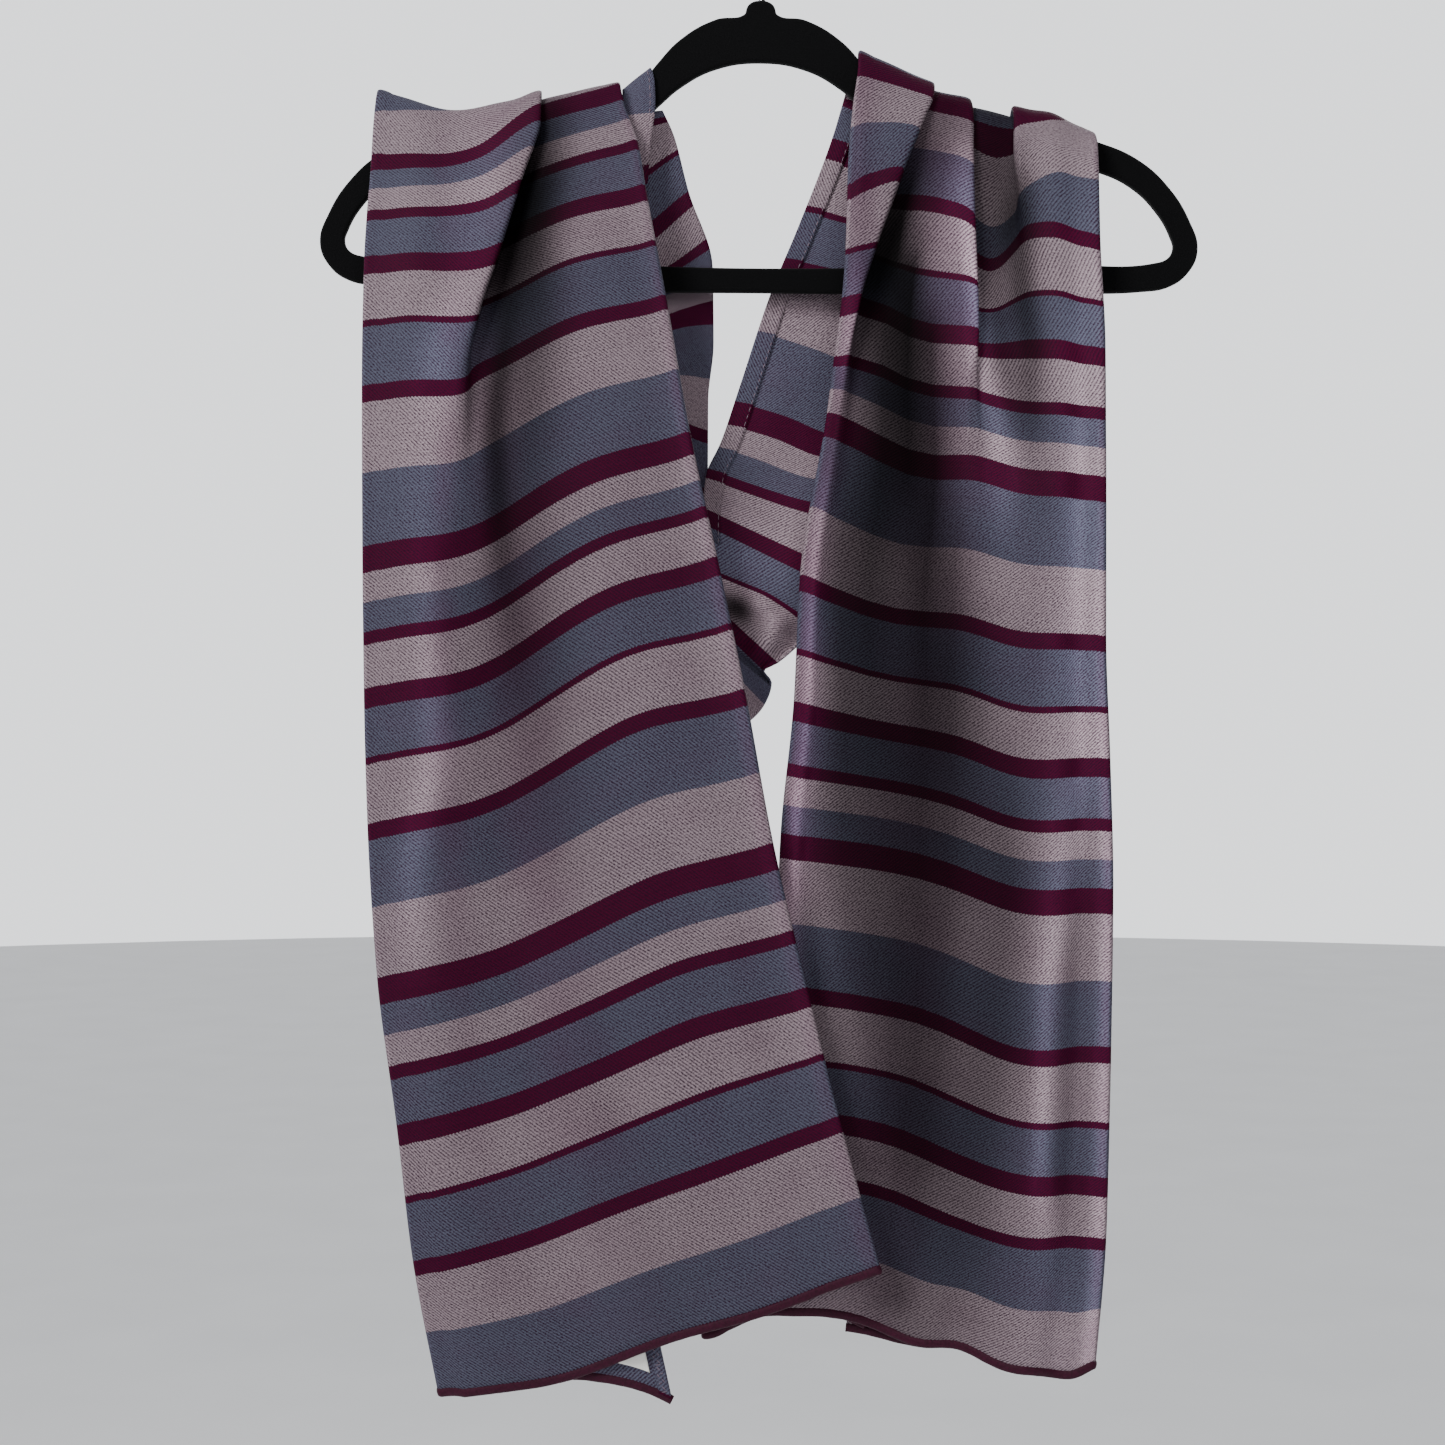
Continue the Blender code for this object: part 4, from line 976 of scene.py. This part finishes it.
def makeFront(name, node, slot, panel, fromLeft):
    crest = panel["rows"][-1][0]
    ups = stations(scarf["hem"] / 2, crest, frontForm["lines"])
    rows = [frontSection(panel, up) for up in ups]
    alongs = []
    for up, row in zip(ups, rows):
        places = np.clip([point[3] / scarf["width"] for point in row], 0, 1)
        taken = up + stripeSlip(*panel["slips"], up, places)
        closing = scarf["rightSlip"] * min(1.0, (crest - up) / frontForm["slipClose"])
        alongs.append(taken if fromLeft else scarf["length"] + closing - taken)
    turns = [readTable(frontColumns, panel["rows"], up)["turn"] for up in ups]
    leftCount, rightCount = panel["flapColumns"]
    leftStop = leftCount - frontForm["keptColumns"][0]
    rightStop = len(rows[0]) - 2 - rightCount + frontForm["keptColumns"][1]

    def beyondFlaps(column, line):
        return turns[line] > frontForm["closeTurn"] and (column < leftStop or column > rightStop)

    start = leftCount + frontForm["foldSteps"]
    tints = {tint: np.zeros((len(rows), len(rows[0]))) for tint in ("warp", "shade")}
    for line, up in enumerate(ups):
        q = columnPlaces(panel, up)
        share = min(up / panel["crown"], 1.0)
        # the painted shot sheen, and the painted shade and light of the pleats and long folds
        tints["warp"][line, start:start + len(q)] = bandStrength(panel["plum"], share, q)
        tints["shade"][line, start:start + len(q)] = foldShade(panel, up, q)
    picks = [up if fromLeft else scarf["length"] - up for up in ups]
    piece = sheetMesh(name, rows, alongs, faceTwill, skip=beyondFlaps, tints=tints, picks=picks, zero=start)
    return placePiece(piece, slot, node)


leftFront = makeFront("left_front_cloth", "left_front", "slate_twill", leftPanel, True)
rightFront = makeFront("right_front_cloth", "right_front", "stone_twill", rightPanel, False)
print("fronts made")


def makeBack():
    cloths = stations(backRows[0][0], backRows[-1][0], backForm["lines"])
    rows = [backSection(cloth) for cloth in cloths]
    alongs = []
    shades = []
    for cloth, row in zip(cloths, rows):
        across = np.array([point[3] / scarf["width"] for point in row])
        alongs.append(cloth + stripeSlip(backSlipPlaces, backSlips, cloth, np.clip(across, 0, 1)))
        # the painted light of the back
        shades.append(1 - np.exp(backLight + patchStrength(backPaintedLight, cloth, across)))
    lastColumn = backForm["columns"] + backForm["keptColumns"]
    bareFrom, bareTo = backForm["bare"]

    def noFlap(column, line):
        return column > lastColumn and bareFrom < cloths[line] < bareTo

    tints = {"shade": shades}
    piece = sheetMesh("back_cloth", rows, alongs, wrongTwill, skip=noFlap, tints=tints, picks=cloths)
    return placePiece(piece, "slate_twill", "left_back", "loop_bottom", "right_back")


backCloth = makeBack()
print("back made")

endHem = {
    "wall": 2.1, "sides": 12, "denser": 3,
    "teeth": 0.16, "thread": 2.3,   # depth as a share of its height, and pitch of the oversewing
    "uneven": 0.1, "unevenScale": 0.12,
}


def sweepHem(name, route, ups):
    # A rolled hem along a route: an oval ring at every point, taller along its own up direction,
    # with its upper side bitten by the oversewing.
    sides = endHem["sides"]
    mesh = bmesh.new()
    rings = []
    travelled = 0.0
    route = [np.array(point[:3]) for point in route]
    for i, point in enumerate(route):
        ahead = route[min(i + 1, len(route) - 1)] - route[max(i - 1, 0)]
        ahead = ahead / np.linalg.norm(ahead)
        up = ups[i] - ahead * np.dot(ups[i], ahead)
        up = up / np.linalg.norm(up)
        out = np.cross(ahead, up)
        travelled += np.linalg.norm(point - route[i - 1]) if i else 0.0
        swell = 1 + endHem["uneven"] * noise.noise((travelled * endHem["unevenScale"], 3, 0))
        pull = 0.5 + 0.5 * sin(travelled * 2 * pi / endHem["thread"])
        ring = []
        for step in range(sides):
            angle = 2 * pi * step / sides
            bite = 1 - endHem["teeth"] * pull * max(sin(angle), 0.0) ** 4
            rise = up * sin(angle) * scarf["hem"] / 2 * swell * bite
            place = point + rise + out * cos(angle) * endHem["wall"] / 2 * swell
            ring.append(mesh.verts.new([value * mm for value in place]))
        rings.append(ring)
    for first, second in zip(rings, rings[1:]):
        for step in range(sides):
            after = (step + 1) % sides
            mesh.faces.new((first[step], second[step], second[after], first[after])).smooth = True
    mesh.faces.new(list(reversed(rings[0])))
    mesh.faces.new(rings[-1])
    bmesh.ops.recalc_face_normals(mesh, faces=mesh.faces)
    return addObject(name, meshData(name, mesh), hemYarn)


def denser(points, times):
    # More points between those of a route, on straight steps.
    route = []
    for first, second in zip(points, points[1:]):
        for step in range(times):
            route.append(np.array(first) + (np.array(second) - np.array(first)) * step / times)
    return route + [np.array(points[-1])]


def makeEndHem(name, node, panel):
    low = frontSection(panel, 0)
    high = frontSection(panel, scarf["hem"])
    middle = [(np.array(a[:3]) + np.array(b[:3])) / 2 for a, b in zip(low, high)]
    upright = [np.array(b[:3]) - np.array(a[:3]) for a, b in zip(low, high)]
    times = endHem["denser"]
    return placePiece(sweepHem(name, denser(middle, times), denser(upright, times)), "burgundy_hem", node)


leftHem = makeEndHem("left_end_hem_tube", "left_end_hem", leftPanel)
rightHem = makeEndHem("right_end_hem_tube", "right_end_hem", rightPanel)
print("end hems made")

sideHem = {
    "width": 10, "wall": 0.8, "from": 1150, "to": 1396, "lines": 90, "columns": 8,
    "gap": 0.1,    # over the cloth
    "seam": 1.2,   # of the stitches from the turned edge
    "crown": 0.25, "uneven": 0.25, "unevenScale": (0.05, 2),
}
stitch = {"long": 2.6, "gap": 1.3, "yarn": 0.45, "crown": 0.15, "ends": 0.4, "first": 0.5}


def backWidth(cloth):
    return np.linalg.norm(backPoint(cloth, 0) - backPoint(cloth, 1))


def makeSideHem():
    # The long edge of the right back, turned over once.
    lift = scarf["wall"] / 2 + sideHem["wall"] / 2 + sideHem["gap"]
    alongScale, acrossScale = sideHem["unevenScale"]
    rows = []
    alongs = []
    for cloth in stations(sideHem["from"], sideHem["to"], sideHem["lines"]):
        width = backWidth(cloth)
        line = []
        for share in stations(0, 1, sideHem["columns"]):
            reach = sideHem["width"] * share
            waves = noise.noise((cloth * alongScale, share * acrossScale, 7))
            rise = lift + sideHem["crown"] * sin(pi * share) + sideHem["uneven"] * waves
            line.append((*backPoint(cloth, reach / width, rise), -reach))
        rows.append(line)
        places = np.array([-point[3] for point in line]) / scarf["width"]
        alongs.append(cloth + stripeSlip(backSlipPlaces, backSlips, cloth, places))
    hem = sheetMesh("right_back_side_hem_cloth", rows, alongs, faceTwill, wall=sideHem["wall"])
    return placePiece(hem, "stone_twill", "right_back_side_hem")


def stitchLine(name, slot, route):
    # Short raised stitches along a route, each a small yarn tube with tapered ends.
    curve = bpy.data.curves.new(name, "CURVE")
    curve.dimensions = "3D"
    curve.bevel_depth = stitch["yarn"] / 2 * mm
    curve.bevel_resolution = 1
    curve.use_fill_caps = True
    table = np.array([np.array(point) for point in route])
    steps = [np.linalg.norm(b - a) for a, b in zip(table, table[1:])]
    reach = np.concatenate(([0], np.cumsum(steps)))
    at = stitch["first"]
    while at + stitch["long"] < reach[-1]:
        spline = curve.splines.new("POLY")
        spline.points.add(2)
        for i, share in enumerate((0, 0.5, 1)):
            where = at + stitch["long"] * share
            place = [np.interp(where, reach, table[:, axis]) for axis in range(3)]
            place[1] -= stitch["crown"] if share == 0.5 else 0.0
            spline.points[i].co = (*[value * mm for value in place], 1)
            spline.points[i].radius = 1.0 if share == 0.5 else stitch["ends"]
        at += stitch["long"] + stitch["gap"]
    return placePiece(addObject(name, curve, threadYarn), slot)


backHem = makeSideHem()
hemRoute = []
for cloth in stations(sideHem["from"], sideHem["to"], sideHem["lines"]):
    inward = (sideHem["width"] - sideHem["seam"]) / backWidth(cloth)
    hemRoute.append(backPoint(cloth, inward, scarf["wall"] / 2 + sideHem["wall"] + stitch["crown"]))
backStitches = stitchLine("right_back_hem_stitches", "stone_twill", hemRoute)
print("side hem made")

neckForm = {"lines": 40, "columns": 10, "crown": 0.8, "width": 18, "seam": 2.6, "sewn": (4, 70), "lift": 0.3}


def makeNeckFold():
    # The inner layer beside the neck end of the left shoulder.
    rows = []
    alongs = []
    for up in stations(neckRows[0][0], neckRows[-1][0], neckForm["lines"]):
        row = readTable(neckColumns, neckRows, up)
        line = [(row["leftX"], row["y"], row["leftZ"], 0)]
        for share in stations(0, 1, neckForm["columns"])[1:]:
            x = between(row, "leftX", "rightX", share)
            y = row["y"] - neckForm["crown"] * sin(pi * share) ** 2
            line.append((x, y, between(row, "leftZ", "rightZ", share), share * neckForm["width"]))
        rows.append(line)
        alongs.append(readTable(neckStripeColumns, neckStripes, up)["along"])
    fold = sheetMesh("left_neck_fold_cloth", rows, alongs, faceTwill)
    return placePiece(fold, "slate_twill", "left_neck_fold")


neckFold = makeNeckFold()
neckRoute = []
for up in stations(*neckForm["sewn"], neckForm["lines"]):
    row = readTable(neckColumns, neckRows, up)
    front = row["y"] - scarf["wall"] / 2 - neckForm["lift"]
    neckRoute.append((row["rightX"] - neckForm["seam"], front, row["rightZ"]))
neckStitches = stitchLine("neck_fold_stitches", "slate_twill", neckRoute)
print("neck fold made")

flapHem = {
    "width": 7, "wall": 0.8, "low": 3, "high": 220, "lines": 70, "columns": 6, "gap": 0.1, "crown": 0.2,
    "zigzag": 2.2, "inner": 0.85, "outer": 0.25,   # step up of each stitch, between shares of the width
    "firstStitch": 4, "lastStitch": 214, "lift": 0.35,
}


def flapPlace(up, inward, lift):
    # A point on the front of the left flap, so far in from its long edge.
    count = leftPanel["flapColumns"][0]
    flap = np.array([point[:3] for point in frontSection(leftPanel, up)[:count]])
    reach = np.concatenate(([0], np.cumsum(np.linalg.norm(np.diff(flap, axis=0), axis=1))))
    x, y, z = [float(np.interp(inward, reach, flap[:, axis])) for axis in range(3)]
    return x, y - lift, z


def makeFlapHem():
    # The long edge of the left flap, turned over once and stitched down in a zigzag.
    over = scarf["wall"] / 2 + flapHem["wall"] / 2 + flapHem["gap"]
    ups = stations(flapHem["low"], flapHem["high"], flapHem["lines"])
    rows = []
    for up in ups:
        line = []
        for share in stations(0, 1, flapHem["columns"]):
            inward = flapHem["width"] * share
            lift = over + flapHem["crown"] * sin(pi * share)
            line.append((*flapPlace(up, inward, lift), -inward))
        rows.append(line)
    hem = sheetMesh("left_flap_hem_cloth", rows, ups, faceTwill, wall=flapHem["wall"])
    route = []
    lift = scarf["wall"] / 2 + flapHem["wall"] + flapHem["lift"]
    for step, up in enumerate(np.arange(flapHem["firstStitch"], flapHem["lastStitch"], flapHem["zigzag"])):
        inward = flapHem["width"] * flapHem["outer" if step % 2 else "inner"]
        route.append(flapPlace(up, inward, lift))
    return placePiece(hem, "slate_twill"), stitchLine("left_flap_hem_stitches", "slate_twill", route)


flapEdge, flapStitches = makeFlapHem()
print("flap hem made")

label = {"width": 24, "height": 14, "wall": 0.7, "up": 12, "in": 9, "lift": 0.25, "lines": 14, "columns": 24}


def makeLabel():
    # Bare woven label on the wrong side of the left flap, at its low corner.
    count = leftPanel["flapColumns"][0]
    over = scarf["wall"] / 2 + label["wall"] / 2 + label["lift"]
    rows = []
    for up in stations(label["up"], label["up"] + label["height"], label["lines"]):
        flap = np.array([point[:3] for point in frontSection(leftPanel, up)[:count]])
        right = flap[0][0] - label["in"]
        flap = flap[np.argsort(flap[:, 0])]
        line = []
        for x in stations(right, right - label["width"], label["columns"]):
            y = np.interp(x, flap[:, 0], flap[:, 1]) - over
            line.append((x, y, np.interp(x, flap[:, 0], flap[:, 2]), right - x))
        rows.append(line)
    alongs = stations(0, label["height"], label["lines"])
    piece = sheetMesh("bare_label", rows, alongs, labelCloth, wall=label["wall"])
    return placePiece(piece, "woven_label", "label")


bareLabel = makeLabel()
print("label made")

# Right half of the frame's two outlines in mm, and how far the whole tips, in degrees
hanger = {"wall": 5.5, "ease": 1.6, "tip": 0.5, "middle": -150}
outerOutline = (
    (0, -66.9), (4.8, -68.2), (7.4, -73.4), (22.8, -76.6), (40, -86.4), (52.5, -99.6),
    (61, -110.6), (71, -116.4), (101, -122.6), (136.5, -129.8), (172, -138.2),
    (192.5, -147.2), (207.5, -160.8), (217.6, -177), (221.8, -191), (217.6, -201.6),
    (208.5, -208.4), (194.8, -210.9), (150, -212), (75, -213.8), (0, -214.3),
)
innerOutline = (
    (0, -97.9), (22.8, -101.4), (40, -110.5), (50.6, -119.6), (60, -128.2), (75, -132),
    (101, -136.6), (136.5, -143.2), (171, -150.4), (187.2, -158), (199.9, -170),
    (207.9, -183.6), (209.4, -189.8), (206.4, -195.8), (198.2, -199), (150, -200),
    (75, -201.6), (0, -202.1),
)


def makeHangerFrame():
    # Moulded frame with rounded edges under its flock.
    curve = bpy.data.curves.new("hanger_frame_flocked", "CURVE")
    curve.dimensions = "2D"
    curve.fill_mode = "BOTH"
    curve.extrude = (hanger["wall"] / 2 - hanger["ease"]) * mm
    curve.bevel_depth = hanger["ease"] * mm
    curve.bevel_resolution = 4
    curve.resolution_u = 14
    for half, inset in ((outerOutline, -hanger["ease"]), (innerOutline, hanger["ease"])):
        points = list(half) + [(-x, z) for x, z in reversed(half) if x > 0]
        spline = curve.splines.new("BEZIER")
        spline.bezier_points.add(len(points) - 1)
        for point, (x, z) in zip(spline.bezier_points, points):
            away = np.array((x, z - hanger["middle"]))
            away = away / np.linalg.norm(away) * inset
            point.co = ((x + away[0]) * mm, (z + away[1]) * mm, 0)
            point.handle_left_type = "AUTO"
            point.handle_right_type = "AUTO"
        spline.use_cyclic_u = True
    shape = addObject("hanger_frame_shape", curve)
    data = bpy.data.meshes.new_from_object(shape.evaluated_get(bpy.context.evaluated_depsgraph_get()))
    bpy.data.objects.remove(shape)
    data.materials.clear()
    data.shade_smooth()
    piece = addObject("hanger_frame_flocked", data, flock)
    piece.rotation_euler = (pi / 2, radians(hanger["tip"]), 0)
    placePiece(piece, "black_flock", "hanger_frame")


makeHangerFrame()

hook = {
    "wire": 3.6, "radius": 21, "foot": -118, "point": 142, "arcSteps": 60,
    "low": -66.9, "clear": 0.3, "shank": 14, "shankSteps": 6, "tipShare": 0.75,
}


def makeHook():
    radius = hook["radius"] + hook["wire"] / 2
    foot = hook["low"] + hook["clear"]
    route = [(0, z) for z in stations(foot, hook["low"] + hook["shank"], hook["shankSteps"])]
    for degrees in stations(hook["foot"], hook["point"], hook["arcSteps"]):
        angle = radians(degrees)
        route.append((radius * sin(angle), radius * cos(angle) - hook["radius"]))
    curve = bpy.data.curves.new("hanger_hook_wire", "CURVE")
    curve.dimensions = "3D"
    curve.bevel_depth = hook["wire"] / 2 * mm
    curve.bevel_resolution = 6
    curve.use_fill_caps = True
    spline = curve.splines.new("POLY")
    spline.points.add(len(route) - 1)
    for i, (point, (x, z)) in enumerate(zip(spline.points, route)):
        point.co = (x * mm, 0, z * mm, 1)
        point.radius = hook["tipShare"] if i == len(route) - 1 else 1.0
    spline.use_smooth = True
    placePiece(addObject("hanger_hook_wire", curve, chrome), "chromed_steel", "hanger_hook")


makeHook()
print("hanger made")
